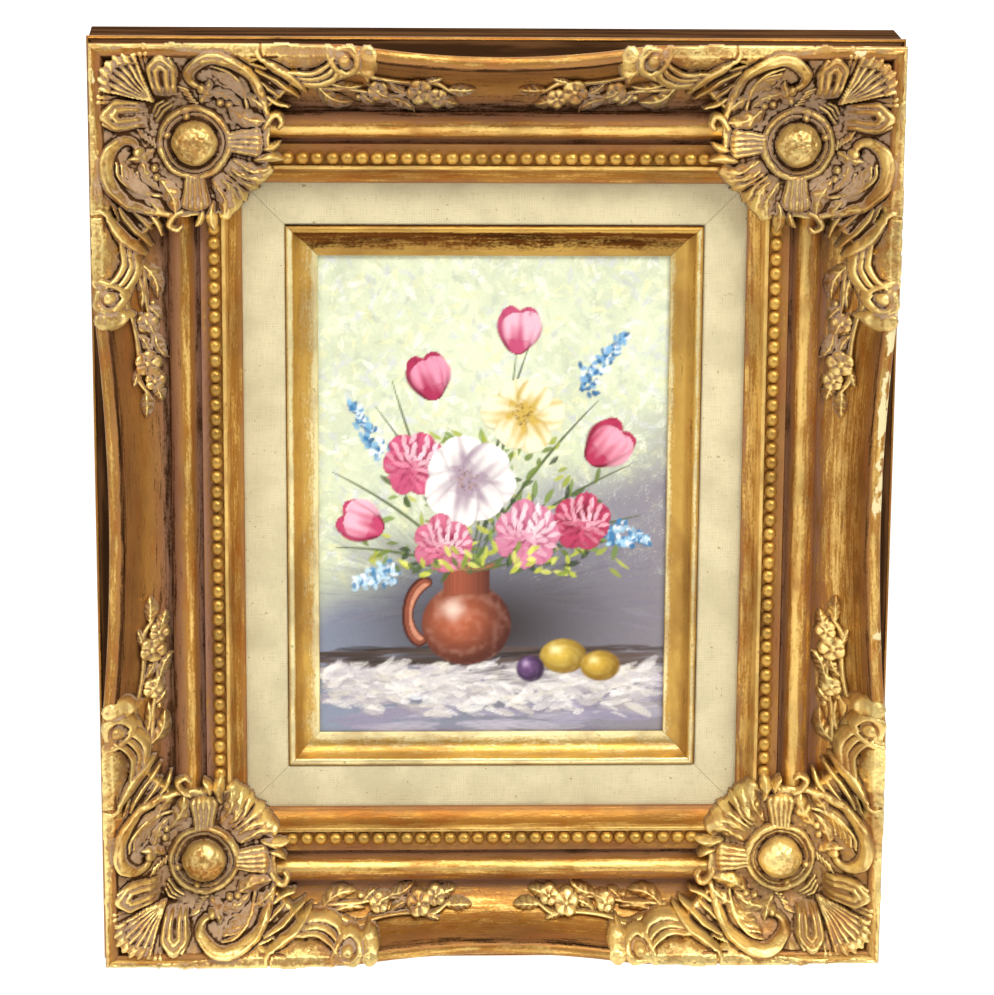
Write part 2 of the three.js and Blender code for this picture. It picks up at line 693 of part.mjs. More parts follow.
// A flat panel behind the picture, from its front height back by its thickness.
function flatPanel(overlap, front, thickness) {
  const width = SIGHT_WIDTH + 2 * overlap;
  const height = SIGHT_HEIGHT + 2 * overlap;
  const panel = new THREE.BoxGeometry(width, thickness, height);
  return panel.translate(0, RAIL_BACK_Y - front + thickness / 2, PICTURE_Z);
}

// Hanger plate: two feet on the rail and a raised middle, with teeth along its lower edge.
function hangerPlate() {
  const half = HANGER_LENGTH / 2;
  const bend = half - HANGER_FOOT;
  const ramp = bend - HANGER_RISE;
  const foot = -HANGER_RISE;
  const outline = [
    [-half, foot], [-bend, foot], [-ramp, 0], [ramp, 0], [bend, foot], [half, foot],
    [half, foot - HANGER_GAUGE], [bend, foot - HANGER_GAUGE], [ramp, -HANGER_GAUGE],
    [-ramp, -HANGER_GAUGE], [-bend, foot - HANGER_GAUGE], [-half, foot - HANGER_GAUGE],
  ];
  const plate = warp(runSection(outline, 1), (x, y, t) =>
    new THREE.Vector3(x, y, HANGER_WIDTH * (t - 0.5)));
  const pitch = (2 * ramp) / TOOTH_COUNT;
  const notches = Array.from({ length: TOOTH_COUNT }, (_, i) =>
    toothNotch(-ramp + pitch * (i + 0.5), pitch));
  const nails = nailPlaces().map((x) => nailHole(x));
  return [...notches, ...nails].reduce((rest, cut) => rest.subtract(cut), toSolid(plate));
}

function toothNotch(x, pitch) {
  const reach = 2 * (HANGER_RISE + HANGER_GAUGE);
  const foot = -HANGER_WIDTH / 2;
  const half = 0.35 * pitch;
  const tip = [0, foot + TOOTH_DEPTH];
  const notch = [[-half, foot - 1], [half, foot - 1], [half, foot], tip, [-half, foot]];
  return toSolid(warp(runSection(notch, 1), (across, z, t) =>
    new THREE.Vector3(x + across, reach * (t - 0.5), z)));
}

function nailPlaces() {
  const x = (HANGER_LENGTH - HANGER_FOOT) / 2;
  return [-x, x];
}

// A bar with eight sides along Y, from one depth to another.
function roundBar(x, radius, back, front) {
  const bar = new THREE.CylinderGeometry(radius, radius, back - front, 8);
  return bar.translate(0, (back + front) / 2, 0).translate(x, 0, 0);
}

function nailHole(x) {
  return toSolid(roundBar(x, NAIL_SHANK / 2 + SEAT_GAP, 1, RAIL_BACK_Y - 1));
}

function hangerNail(x) {
  const headFront = -HANGER_RISE + SEAT_GAP / 2;
  const head = toSolid(roundBar(x, NAIL_HEAD / 2, headFront + NAIL_HEAD_THICKNESS, headFront));
  const shankBack = headFront + NAIL_HEAD_THICKNESS / 2;
  const shank = toSolid(roundBar(x, NAIL_SHANK / 2, shankBack, headFront - NAIL_LENGTH));
  return head.add(shank);
}

function nailBore(x) {
  const depth = RAIL_BACK_Y - NAIL_LENGTH;
  return toSolid(roundBar(x, NAIL_SHANK / 2 + SEAT_GAP, RAIL_BACK_Y + 1, depth));
}

// A flat steel point, driven part way into the rabbet wall so that it holds the backing.
function steelPoint(side, along, growth) {
  const half = POINT_WIDTH / 2 + growth;
  const buried = POINT_LENGTH * POINT_SHARE + growth;
  const free = POINT_LENGTH * (1 - POINT_SHARE) + growth;
  const outline = [[-half, 0], [0, buried], [half, 0], [0, -free]];
  const low = BACKING_BACK - SEAT_GAP - POINT_GAUGE - growth;
  const thickness = POINT_GAUGE + 2 * growth;
  return warp(runSection(outline, 1), (across, outwards, t) =>
    framePoint(side, along + across, RABBET + outwards, low + thickness * t));
}

function pointPlaces(side) {
  return [-0.5, 0.5].map((share) => share * (halfSight(side).along + MOULDING_SIGHT));
}

// A rail with its bead course, and with the slots and bores of what is driven into it.
function finishedRail(side) {
  const beaded = toSolid(plainRail(side)).add(toSolid(beadCourse(side)));
  const slots = pointPlaces(side).map((along) => toSolid(steelPoint(side, along, SEAT_GAP)));
  const bores = side.name === "top" ? nailPlaces().map(nailBore) : [];
  return [...slots, ...bores].reduce((rest, cut) => rest.subtract(cut), beaded);
}

// Draws a rail back from its neighbours at the mitres, so that the ends keep a hairline joint.
function mitreJoint(side, solid) {
  const reach = SIGHT_WIDTH + SIGHT_HEIGHT + 4 * RAIL_OUT;
  const cuts = [-1, 1].map((end) => {
    const gap = SEAT_GAP / Math.SQRT2;
    const block = new THREE.BoxGeometry(reach, reach, reach).translate(reach / 2, 0, 0);
    return toSolid(warp(block, (x, y, z) => {
      const outwards = z;
      const along = halfSight(side).along - gap + x + outwards;
      return framePoint(side, end * along, outwards, y);
    }));
  });
  return cuts.reduce((rest, cut) => rest.subtract(cut), solid);
}

function addRails(frame) {
  SIDES.forEach((side) => {
    const rail = mitreJoint(side, finishedRail(side));
    frame.add(namedMesh(`moulding_rail_${side.name}`, fromSolid(rail), giltWood));
    const liner = mitreJoint(side, toSolid(mitredRun(side, linerSection(), 1, straightStation, false)));
    frame.add(namedMesh(`linen_liner_${side.name}`, fromSolid(liner), linen));
    const slip = mitreJoint(side, toSolid(mitredRun(side, slipSection(), 1, straightStation, false)));
    frame.add(namedMesh(`gilt_slip_${side.name}`, fromSolid(slip), brightGilt));
  });
}

// The front line with the bead channel and groove bridged: what an ornament's underside is cut to.
function seatLine() {
  const torusMiddle = (TORUS_IN + TORUS_OUT) / 2;
  const beyond = RAIL_OUT + LIP_WIDTH;
  const bridged = FRONT_LINE.filter(([outwards, height]) =>
    (outwards < FILLET_OUT || outwards > torusMiddle - 0.2 * TORUS_WIDTH || height === FILLET_HEIGHT) &&
    outwards < LIP_IN + LIP_WIDTH / 2);
  const under = LEDGE_HEIGHT - 1;
  const line = [...bridged, [beyond, LIP_HEIGHT], [beyond, under], [MOULDING_SIGHT, under]];
  return line.map(([outwards, height]) => [outwards, height + SEAT_GAP]);
}

// The tool that shapes an ornament's underside to one side of the frame. It runs a hair past the
// mitre, so that the tools of two sides leave no fin between them.
function seatCutter(side) {
  const pastMitre = (t) => straightStation(t) * (1 + SEAT_GAP / halfSight(side).along);
  return toSolid(mitredRun(side, seatLine(), 1, pastMitre, false));
}

// The two sides that meet at a corner.
function sidesOf(corner) {
  const names = [corner.up > 0 ? "top" : "bottom", corner.right > 0 ? "right" : "left"];
  return SIDES.filter((side) => names.includes(side.name));
}

function addOrnaments(frame) {
  const cutters = Object.fromEntries(SIDES.map((side) => [side.name, seatCutter(side)]));
  CORNERS.forEach((corner) => {
    const sides = sidesOf(corner);
    const ornament = cornerOrnament(corner, sides.map((side) => cutters[side.name]));
    frame.add(namedMesh(`corner_ornament_${corner.name}`, fromSolid(ornament), giltOrnament));
    sides.forEach((side) => {
      const name = `flower_spray_${corner.name}_${side.name}`;
      frame.add(namedMesh(name, flowerSpray(corner, side), giltOrnament));
    });
  });
}

function addPicture(frame) {
  const board = flatPanel(BOARD_OVERLAP, BOARD_FRONT, BOARD_THICKNESS);
  frame.add(namedMesh("painted_board", board, paint));
  const backingFront = BACKING_BACK + BACKING_THICKNESS;
  const backing = flatPanel(RABBET - FIT_GAP, backingFront, BACKING_THICKNESS);
  frame.add(namedMesh("backing_board", backing, greyBoard));
}

function addFixings(frame) {
  frame.add(namedMesh("hanger_plate", fromSolid(hangerPlate()), zincSteel));
  nailPlaces().forEach((x, i) => {
    frame.add(namedMesh(`hanger_nail_${i + 1}`, fromSolid(hangerNail(x)), zincSteel));
  });
  SIDES.forEach((side) => {
    pointPlaces(side).forEach((along, i) => {
      frame.add(namedMesh(`steel_point_${side.name}_${i + 1}`, steelPoint(side, along, 0), zincSteel));
    });
  });
}

const frame = new THREE.Group();
addRails(frame);
addOrnaments(frame);
addPicture(frame);
addFixings(frame);

export default frame;
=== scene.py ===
import math

import bmesh
import bpy
import numpy as np
from mathutils import Matrix, Vector


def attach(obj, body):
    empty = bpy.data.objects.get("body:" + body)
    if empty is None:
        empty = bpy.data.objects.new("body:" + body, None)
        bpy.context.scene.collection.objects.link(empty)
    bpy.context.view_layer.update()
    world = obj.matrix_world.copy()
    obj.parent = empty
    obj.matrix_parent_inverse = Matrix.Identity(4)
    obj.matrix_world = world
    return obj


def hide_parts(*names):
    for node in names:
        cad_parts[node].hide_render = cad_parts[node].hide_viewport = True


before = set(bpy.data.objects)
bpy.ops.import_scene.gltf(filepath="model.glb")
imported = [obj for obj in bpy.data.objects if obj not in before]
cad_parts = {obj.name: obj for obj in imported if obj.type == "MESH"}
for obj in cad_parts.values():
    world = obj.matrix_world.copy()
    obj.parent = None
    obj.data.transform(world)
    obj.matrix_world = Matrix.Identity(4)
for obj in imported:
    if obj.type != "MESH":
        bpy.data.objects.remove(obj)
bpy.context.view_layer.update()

# Painted board.
# A thin hardboard panel, primed and painted in thick oils with a loaded brush and a knife. It drops
# into the slip from behind. The scene on it is a plain jug of meadow flowers with fruit on a cloth.

# Lengths are in millimetres up to the last section. Heights are measured from the frame's back, which
# hangs WALL_GAP off the wall, and PICTURE_Z is the middle of the picture.
MM = 0.001
WALL_GAP = 2.8
PICTURE_Z = -138.2
SIGHT_WIDTH, SIGHT_HEIGHT = 120.5, 168.0
BOARD_FRONT, BOARD_THICKNESS, BOARD_OVERLAP = 11.0, 3.0, 5.0
PAINT_STEP = 0.5

board_width, board_height = SIGHT_WIDTH + 2 * BOARD_OVERLAP, SIGHT_HEIGHT + 2 * BOARD_OVERLAP
board_columns, board_rows = int(board_width / PAINT_STEP), int(board_height / PAINT_STEP)
across = (np.arange(board_columns + 1) / board_columns - 0.5) * board_width
upward = (np.arange(board_rows + 1) / board_rows - 0.5) * board_height
spot_x, spot_z = np.meshgrid(across, upward)
paint = np.zeros(spot_x.shape + (3,))
impasto = np.zeros(spot_x.shape)
brush = np.random.default_rng(7)


def tone(hex_colour):
    """A colour written as six hex digits, as linear light."""
    value = np.array([int(hex_colour[i:i + 2], 16) for i in (0, 2, 4)]) / 255
    return np.where(value <= 0.04045, value / 12.92, ((value + 0.055) / 1.055) ** 2.4)


def cloudy(seed, size, cells=spot_x.shape):
    """Smooth random clouds from 0 to 1, of about the given size in steps."""
    rough = np.random.default_rng(seed).random((int(cells[0] / size) + 3, int(cells[1] / size) + 3))
    row = np.linspace(0, rough.shape[0] - 1.001, cells[0])
    column = np.linspace(0, rough.shape[1] - 1.001, cells[1])
    r, c = row.astype(int), column.astype(int)
    fr = (row - r)[:, None]
    fc = (column - c)[None, :]
    fr, fc = fr * fr * (3 - 2 * fr), fc * fc * (3 - 2 * fc)
    top = rough[r][:, c] * (1 - fc) + rough[r][:, c + 1] * fc
    low = rough[r + 1][:, c] * (1 - fc) + rough[r + 1][:, c + 1] * fc
    return top * (1 - fr) + low * fr


def paint_near(x, z, reach, turn):
    """The paint near a point, with each place's distance along a direction and beside it."""
    rows = slice(*np.searchsorted(upward, [z - reach, z + reach]))
    columns = slice(*np.searchsorted(across, [x - reach, x + reach]))
    dx, dz = spot_x[rows, columns] - x, spot_z[rows, columns] - z
    along = dx * math.cos(turn) + dz * math.sin(turn)
    return (rows, columns), along, dz * math.cos(turn) - dx * math.sin(turn)


def stroke(x, z, length, width, turn, colour, load=0.25, cover=1.0, bend=0.0, streaks=0.5, taper=0.6):
    """One brush stroke from its start point: it streaks along its length and leaves raised paint."""
    here, along, side = paint_near(x, z, length + width + 1, turn)
    side = side - bend * (along / length) ** 2 * length
    t = np.clip(along / length, 0, 1)
    half = width / 2 * (1 - taper * (2 * t - 1) ** 2) + 1e-6
    past = np.maximum(np.maximum(-along, along - length), 0)
    inside = 1 - np.hypot(past / (width / 2), side / half)
    mask = np.clip(inside * half / 0.45, 0, 1)
    seed = brush.random(2) * 40
    bristle = np.sin(side * 7.3 + seed[0] + 0.8 * np.sin(along * 0.9 + seed[1]))
    bristle = bristle * 0.6 + 0.4 * np.sin(side * 15.1 + seed[1])
    mask = mask * np.clip(cover + streaks * (0.5 * bristle - 0.25 * t), 0, 1)
    shade = np.array(colour) * (1 + 0.1 * brush.normal()) * (1 + 0.13 * streaks * bristle[..., None])
    paint[here] += (np.clip(shade, 0, 1) - paint[here]) * mask[..., None]
    edge = 0.35 + 0.65 * np.clip(1 - np.abs(inside - 0.22) * 3, 0, 1)
    raised = load * mask * (edge + 0.3 * bristle)
    impasto[here] = impasto[here] * (1 - 0.5 * mask) + raised


# Ground: mottled greenish cream above and at the left, grey blue and violet lower down.
height_share = spot_z / SIGHT_HEIGHT + 0.5
left_share = 0.5 - spot_x / SIGHT_WIDTH
edge_at = 0.56 - 0.36 * left_share
fade = np.clip((height_share - edge_at) / 0.16 + 0.5 * (cloudy(1, 34) - 0.5), 0, 1)[..., None]
low_ground = tone("8B93A6") * left_share[..., None] + tone("8C858C") * (1 - left_share[..., None])
high_ground = tone("D3D9BA") * (0.86 + 0.16 * cloudy(2, 30)[..., None] + 0.1 * cloudy(3, 9)[..., None])
paint[:] = low_ground * (1 - fade) + high_ground * fade
for _ in range(2400):
    x, z = brush.uniform(-66, 66), brush.uniform(-30, 90)
    cream = tone(brush.choice(["E8ECCC", "D3DAB6", "EEF0E0", "BFC8B2", "DEDCAA", "C6C9CE", "C9D2B0"]))
    pale_here = fade[np.searchsorted(upward, z) - 1, np.searchsorted(across, x) - 1, 0]
    stroke(x, z, brush.uniform(1.5, 6), brush.uniform(1.2, 3.4), brush.uniform(-0.9, 2.4), cream,
           0.22, 0.55 * pale_here, brush.uniform(-0.3, 0.3), 0.7)
GLOOM_X, GLOOM_Z = -2.0, -42.0
gloom = np.exp(-((spot_x - GLOOM_X) / 46) ** 2 - ((spot_z - GLOOM_Z + 4) / 26) ** 2)[..., None]
paint[:] = paint * (1 - 0.95 * gloom) + tone("2A1D16") * 0.95 * gloom
for _ in range(520):
    turn = brush.uniform(-0.25, math.pi + 0.25)
    start = brush.uniform(16, 52)
    dark_share = math.exp(-(start / 40) ** 2)
    grey = tone(brush.choice(["8D87A0", "77708A", "9A95A8", "A4A2A6"]))
    grey = tone("3A2E28") * dark_share + grey * (1 - dark_share)
    stroke(GLOOM_X + start * math.cos(turn), GLOOM_Z + 6 + 0.8 * start * math.sin(turn),
           brush.uniform(8, 18), brush.uniform(1, 2), turn, grey, 0.05,
           0.22 if math.sin(turn) < 0.8 else 0.08, streaks=0.2)

# Table: a dark far edge, then a pale cloth laid on with a knife, and a lilac front.
for count, first_x, low, high, longest, wide, slant, shades in (
    (70, -70, -61, -54, 30, 2.4, 0.05, ["30251F", "453731", "5B4A42"]),
    (60, -68, -88, -62, 28, 4, 0.08, ["9A93A6", "8C859A", "A8A2AE"]),
):
    for _ in range(count):
        stroke(brush.uniform(first_x, 50), brush.uniform(low, high), brush.uniform(12, longest), wide,
               brush.uniform(-slant, slant), tone(brush.choice(shades)), 0.06, 0.8)
for _ in range(760):
    z = brush.triangular(-78, -65, -58.5)
    pale_knife = tone(brush.choice(["E2DCD6", "CFC8C6", "F0ECE6", "B9B1B6", "A79EA2", "D8D0C2"]))
    stroke(brush.uniform(-60, 54), z, brush.uniform(1.5, 8), brush.uniform(1, 3.6),
           brush.uniform(-0.5, 0.5), pale_knife, 0.4, 0.6, brush.uniform(-0.3, 0.3), 0.35, 0.3)

# Shadow of the jug and the fruit on the cloth.
for _ in range(26):
    stroke(brush.uniform(-16, 14), brush.uniform(-67, -61), brush.uniform(6, 14), 2, 0.04,
           tone("544A55"), 0.04, 0.3)

# Jug: a round terracotta body, a short neck with a rolled rim, and a handle on its left.
JUG_X, JUG_Z, JUG_HALF, JUG_TALL = -9.0, -45.5, 16.0, 15.0
HANDLE_X, HANDLE_Z, HANDLE_WIDE, HANDLE_TALL = JUG_X - 12.0, JUG_Z + 4.5, 8.5, 11.5


def ball(x, z, half_wide, half_tall, dark, mid, pale):
    """A round thing, lit from the upper left and worked round its form with the brush."""
    u, v = (spot_x - x) / half_wide, (spot_z - z) / half_tall
    r = np.hypot(u, v)
    mask = np.clip((1 - r) * half_wide / 0.8, 0, 1)[..., None]
    swirl = 0.05 * np.sin(16 * r + 2 * np.arctan2(v, u) + x) * np.cos(5 * v + 2 * u)
    swirl = swirl + 0.07 * (cloudy(51, 3) - 0.5)
    body = np.exp(-((u + 0.2) ** 2 + (v - 0.15) ** 2) / 0.5) + swirl
    glint = np.exp(-((u + 0.3) ** 2 + (v - 0.36) ** 2) / 0.05)
    colour = tone(dark) + (tone(mid) - tone(dark)) * np.clip(body, 0, 1)[..., None]
    colour = colour + (tone(pale) - colour) * np.clip(0.85 * glint + 1.2 * swirl, 0, 1)[..., None]
    paint[:] = paint + (colour - paint) * mask
    impasto[:] = impasto * (1 - mask[..., 0]) + mask[..., 0] * (0.12 + 1.2 * np.abs(swirl) + 0.3 * glint)


for drop, light, wide in ((0.0, "4A1E12", 4.0), (-0.3, "8E4A33", 2.6), (-0.9, "C98A6C", 0.9)):
    for k in range(90):
        a = math.pi * (0.1 + 0.76 * k / 89)
        stroke(HANDLE_X - (HANDLE_WIDE + drop) * math.sin(a),
               HANDLE_Z + (HANDLE_TALL + drop) * math.cos(a), 1.0, wide, -a, tone(light), 0.08, 1.0,
               streaks=0.0, taper=0)
ball(JUG_X, JUG_Z, JUG_HALF, JUG_TALL, "43190F", "B8623F", "F1D6C4")
for k in range(60):
    spin = -1 + 2 * k / 59
    stroke(JUG_X + spin * 7.6, JUG_Z + 11.5, 8.5, 1.4, math.pi / 2,
           tone("9A4F36") * (1.1 - 0.6 * abs(spin + 0.3)), 0.06, 1.0, streaks=0.1, taper=0)
for k in range(40):
    spin = -1 + 2 * k / 39
    stroke(JUG_X + spin * 9.4, JUG_Z + 20.2 + 0.8 * spin * spin, 1.2, 2.2, 0.0,
           tone("C57A58") * (1.1 - 0.4 * abs(spin + 0.3)), 0.2, 1.0, streaks=0.1, taper=0)

# Fruit on the cloth at the right: two lemons and a plum.
ball(25, -57, 8.6, 6.6, "7A5A14", "DDBB4C", "FBF0B4")
ball(38, -60.5, 7.4, 5.8, "75520F", "D6AE3E", "F8E9A0")
ball(13.5, -61.5, 5.4, 5.2, "241328", "6A4676", "C3A9CB")

# Stems and blades of grass, with loose yellow-green leaves behind the blossoms.
STALK_X, STALK_Z = JUG_X + 1.0, -27.0
for length, turn, bend in (
    (66, 1.92, 0.16), (84, 1.42, -0.1), (74, 1.1, -0.16), (58, 2.3, 0.2), (66, 0.8, -0.2),
    (72, 2.05, -0.1), (78, 1.25, 0.12), (62, 0.45, -0.12), (46, 2.75, 0.2), (54, 0.2, 0.14),
):
    stroke(STALK_X, STALK_Z, length, 1.5, turn, tone("56633A"), 0.1, 1.0, bend, 0.0, 0.5)
for _ in range(210):
    a, r = brush.uniform(-0.1, math.pi + 0.1), brush.uniform(6, 46)
    leaf_x, leaf_z = STALK_X + 8 + r * math.cos(a) * 0.95, STALK_Z + 4 + r * math.sin(a) * 1.05
    green = tone(brush.choice(["9DA63A", "6D7F33", "4B5C2E", "B9BC50", "35432A", "7E9449"]))
    stroke(leaf_x, leaf_z, brush.uniform(4, 8), brush.uniform(1.6, 2.8), a + brush.normal() * 0.7,
           green, 0.24, 0.95, brush.uniform(-0.3, 0.3), 0.3, 0.95)


def petal(x, z, turn, length, width, dark, light, curl=0.0, streaks=0.5):
    """One rounded petal: dark at its foot, streaked and pale towards a thick, lit edge."""
    here, along, side = paint_near(x, z, length + width, turn)
    t = along / length
    side = side / width * 2 - curl * t * t
    inside_t = np.clip(t, 0.001, 0.999)
    outline = 1.36 * inside_t ** 0.5 * (1 - inside_t ** 3.5) ** 0.5
    outline = outline * (1 + 0.05 * np.sin(9 * side + width))
    depth = (1 - np.abs(side) / np.maximum(outline, 0.02)) * (np.abs(t - 0.5) < 0.5)
    mask = np.clip(depth * 7, 0, 1)
    seed = brush.random(2) * 30
    hair = 0.6 * np.sin(side * 5.2 + seed[0] + 1.2 * t) + 0.4 * np.sin(side * 12.4 + seed[1] - 2 * t)
    rim = np.exp(-((1 - np.minimum(depth * 2.4, (1 - t) * 4.5)) / 0.9) ** 2) * (t > 0.35)
    share = np.clip(1.25 * t - 0.28 + streaks * hair * (0.5 + 0.6 * t) + 0.3 * rim - 0.16 * side, 0, 1)
    under = (np.exp(-(depth / 0.1) ** 2) * np.where(side > 0, 0.5, 0.15))[..., None]
    colour = (tone(dark) * (1 - share[..., None]) + tone(light) * share[..., None]) * (1 - under)
    paint[here] += (colour - paint[here]) * mask[..., None]
    impasto[here] = impasto[here] * (1 - 0.8 * mask) + mask * (0.16 + 0.34 * rim + 0.1 * hair * share)


def tulip(x, z, size, turn, deep, mid, pale):
    """A cup of petals seen from its side: two behind, two at the flanks and one broad one in front."""
    for lean, length, width, dark, light, curl in (
        (-0.2, 1.75, 0.95, deep, mid, -0.1), (0.2, 1.75, 0.95, deep, mid, 0.1),
        (-0.42, 1.6, 1.05, deep, pale, 0.35), (0.42, 1.6, 1.05, deep, mid, -0.35),
        (0.03, 1.5, 1.3, mid, pale, 0.0),
    ):
        petal(x, z, turn + lean, length * size, width * size, dark, light, curl, 0.45)


def anemone(x, z, size, petals, shade, pale, heart):
    """An open flower with broad petals round a dark heart of stamens."""
    start = brush.uniform(0, 1)
    for k in brush.permutation(petals):
        a = 2 * math.pi * (k + start) / petals
        petal(x, z, a, size * brush.uniform(0.88, 1.1), size * 0.98, shade, pale,
              brush.uniform(-0.3, 0.3), 0.6)
    for k in range(46):
        a, r = brush.uniform(0, 2 * math.pi), math.sqrt(brush.random()) * size * 0.24
        stroke(x + r * math.cos(a), z + r * math.sin(a), 0.8, 0.8, a, tone(brush.choice(heart)), 0.5,
               0.95)


def peony(x, z, size, deep, mid, pale):
    """A full round blossom: deep petals, and rings of pale comma strokes that close on its heart."""
    start = brush.random()
    for k in range(7):
        a = 2 * math.pi * (k + start) / 7
        petal(x, z, a, size * brush.uniform(0.92, 1.06), size * 0.86, deep, mid,
              brush.uniform(-0.3, 0.3), 0.5)
    for ring, count in ((0.97, 15), (0.7, 12), (0.46, 8), (0.24, 5)):
        start = brush.random()
        for k in range(count):
            a = 2 * math.pi * (k + start) / count
            lit = 0.5 + 0.5 * math.sin(a + 0.5)
            colour = tone(mid) * (1 - lit) + tone(pale) * lit
            reach = ring * size * brush.uniform(0.92, 1.0)
            stroke(x + reach * math.cos(a), z + reach * math.sin(a), size * 0.36, size * 0.2,
                   a + math.pi + brush.uniform(-0.2, 0.2), colour, 0.4, 0.95,
                   0.4 if math.cos(a) > 0 else -0.4, 0.5, 0.75)


def larkspur(x, z, length, turn, deep, pale):
    """A spike of small dabs, thick at the foot and thin at the tip."""
    for k in range(84):
        t = k / 83
        side = brush.normal() * (1 - 0.72 * t) * 2.7
        px = x + length * t * math.cos(turn) - side * math.sin(turn)
        pz = z + length * t * math.sin(turn) + side * math.cos(turn)
        stroke(px, pz, 0.9, 2.1, turn + brush.normal(),
               tone(brush.choice([deep, deep, pale, pale, "E4ECF2"])), 0.4, 0.95, streaks=0.2, taper=0.2)


larkspur(-38, 14, 22, 2.1, "2F6E9E", "7FB0CF")
larkspur(30, 38, 24, 0.9, "28618F", "7AAAD0")
larkspur(38, -12, 17, -0.25, "3C7AA8", "9CC3DA")
larkspur(-33, -26, 16, 3.5, "4D84AE", "B5D0E0")
tulip(-20, 34, 9.6, 1.85, "6E1230", "A82A50", "E893AC")
tulip(8, 50, 9.6, 1.5, "8A2446", "BE4A70", "EDB4C4")
tulip(33, 12, 10.5, 0.75, "76142C", "AE2C50", "EDA0B3")
tulip(-38, -12, 9.5, 2.75, "7E1736", "BE3F66", "F2B3C4")
peony(-27, 12, 11.5, "8E2044", "C85478", "F6C9D3")
anemone(10, 29, 13.5, 6, "C9A94E", "F3EAC6", ["7A4F24", "4A2E18", "8E6128", "3A2415"])
peony(31, -9, 10.5, "7A1530", "B53A5C", "F2B6C4")
peony(12, -13, 12.0, "A04468", "CE7C98", "F2D8DC")
anemone(-9, 6, 16.0, 7, "A893A0", "F1ECE6", ["6B4423", "8E6128", "3A2415", "B08A3C"])
peony(-17, -17, 10.5, "8E2448", "CE6C88", "F0CCD4")
for _ in range(46):
    a, r = brush.uniform(0.02, math.pi - 0.02), brush.uniform(8, 32)
    stroke(STALK_X + 6 + r * math.cos(a), STALK_Z - 1 + r * 0.28 * math.sin(a),
           brush.uniform(3.5, 6.5), 2.2, a + brush.normal() * 0.6,
           tone(brush.choice(["B7BC45", "7E9038", "D3D46A", "566B30"])), 0.34, 0.95, streaks=0.3,
           taper=0.95)

impasto = np.clip(impasto + 0.05 * cloudy(5, 3), 0, 0.75)
to_edge = np.minimum(SIGHT_WIDTH / 2 - np.abs(spot_x), SIGHT_HEIGHT / 2 - np.abs(spot_z))
impasto *= np.clip(0.25 + to_edge / 2, 0.1, 1)


def new_piece(name, shape, slot_name, node, *materials):
    """Turns a finished bmesh into a smooth-shaded piece that stands for a CAD node."""
    mesh = bpy.data.meshes.new(name)
    shape.to_mesh(mesh)
    shape.free()
    piece = bpy.data.objects.new(name, mesh)
    bpy.context.scene.collection.objects.link(piece)
    mesh.shade_smooth()
    for material in materials:
        mesh.materials.append(material)
    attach(piece, "root")
    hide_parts(node)
    return piece


def close_up(shape):
    """Fills the open ends of a shell and turns its faces outwards."""
    open_edges = [edge for edge in shape.edges if edge.is_boundary]
    bmesh.ops.holes_fill(shape, edges=open_edges, sides=0)
    bmesh.ops.recalc_face_normals(shape, faces=shape.faces[:])


def new_material(name):
    """A material, with its node tree and its Principled shader."""
    material = bpy.data.materials.new(name)
    material.use_nodes = True
    return material, material.node_tree, material.node_tree.nodes["Principled BSDF"]


def give(tree, node, values):
    """Sets inputs of a node by name, or wires those whose value is another node's output."""
    for key, value in values.items():
        if isinstance(value, bpy.types.NodeSocket):
            tree.links.new(value, node.inputs[key])
        else:
            node.inputs[key].default_value = value


def add(tree, kind, values, output, **settings):
    """Adds a node to a tree and returns the named one of its outputs."""
    node = tree.nodes.new("ShaderNode" + kind)
    for key, value in settings.items():
        setattr(node, key, value)
    give(tree, node, values)
    return node.outputs[output]


def noise(tree, vector, scale, detail, rough=0.5):
    """Soft noise over a vector, from 0 to 1."""
    values = {"Vector": vector, "Scale": scale, "Detail": detail, "Roughness": rough}
    return add(tree, "TexNoise", values, "Fac")


def remap(tree, value, source, target, kind="LINEAR"):
    """A value, taken from one range to another and held at its ends."""
    values = {"Value": value, "From Min": source[0], "From Max": source[1]}
    values |= {"To Min": target[0], "To Max": target[1]}
    return add(tree, "MapRange", values, "Result", interpolation_type=kind)


def scaled(tree, vector, amount):
    """A vector or a colour, times an amount."""
    return add(tree, "VectorMath", {0: vector, 1: amount}, "Vector", operation="MULTIPLY")


def bumped(tree, height, strength, distance=0.0002):
    """A normal that follows a height."""
    return add(tree, "Bump", {"Height": height, "Strength": strength, "Distance": distance}, "Normal")


oils, tree, shader = new_material("oil_paint")
spot = add(tree, "TexCoord", {}, "Object")
hairs = noise(tree, spot, 900.0, 3.0)
pigment = add(tree, "VertexColor", {}, "Color", layer_name="Paint")
give(tree, shader, {
    "Base Color": scaled(tree, pigment, remap(tree, hairs, (0, 1), (0.9, 1.08))),
    "Roughness": remap(tree, hairs, (0, 1), (0.42, 0.62)), "Specular IOR Level": 0.3,
    "Normal": bumped(tree, hairs, 0.35),
})
shape = bmesh.new()
bmesh.ops.create_grid(shape, x_segments=board_columns, y_segments=board_rows, size=0.5)
board_front = -(WALL_GAP + BOARD_FRONT)
for vert in shape.verts:
    i = round((vert.co.y + 0.5) * board_rows)
    j = round((vert.co.x + 0.5) * board_columns)
    place = (across[j], board_front - impasto[i, j], PICTURE_Z + upward[i])
    vert.co = [value * MM for value in place]
rim = [edge for edge in shape.edges if edge.is_boundary]
wall = bmesh.ops.extrude_edge_only(shape, edges=rim)["geom"]
for vert in (part for part in wall if isinstance(part, bmesh.types.BMVert)):
    vert.co.y = (board_front + BOARD_THICKNESS) * MM
close_up(shape)
painted_board = new_piece("painted_board_oils", shape, "painting", "painted_board", oils)


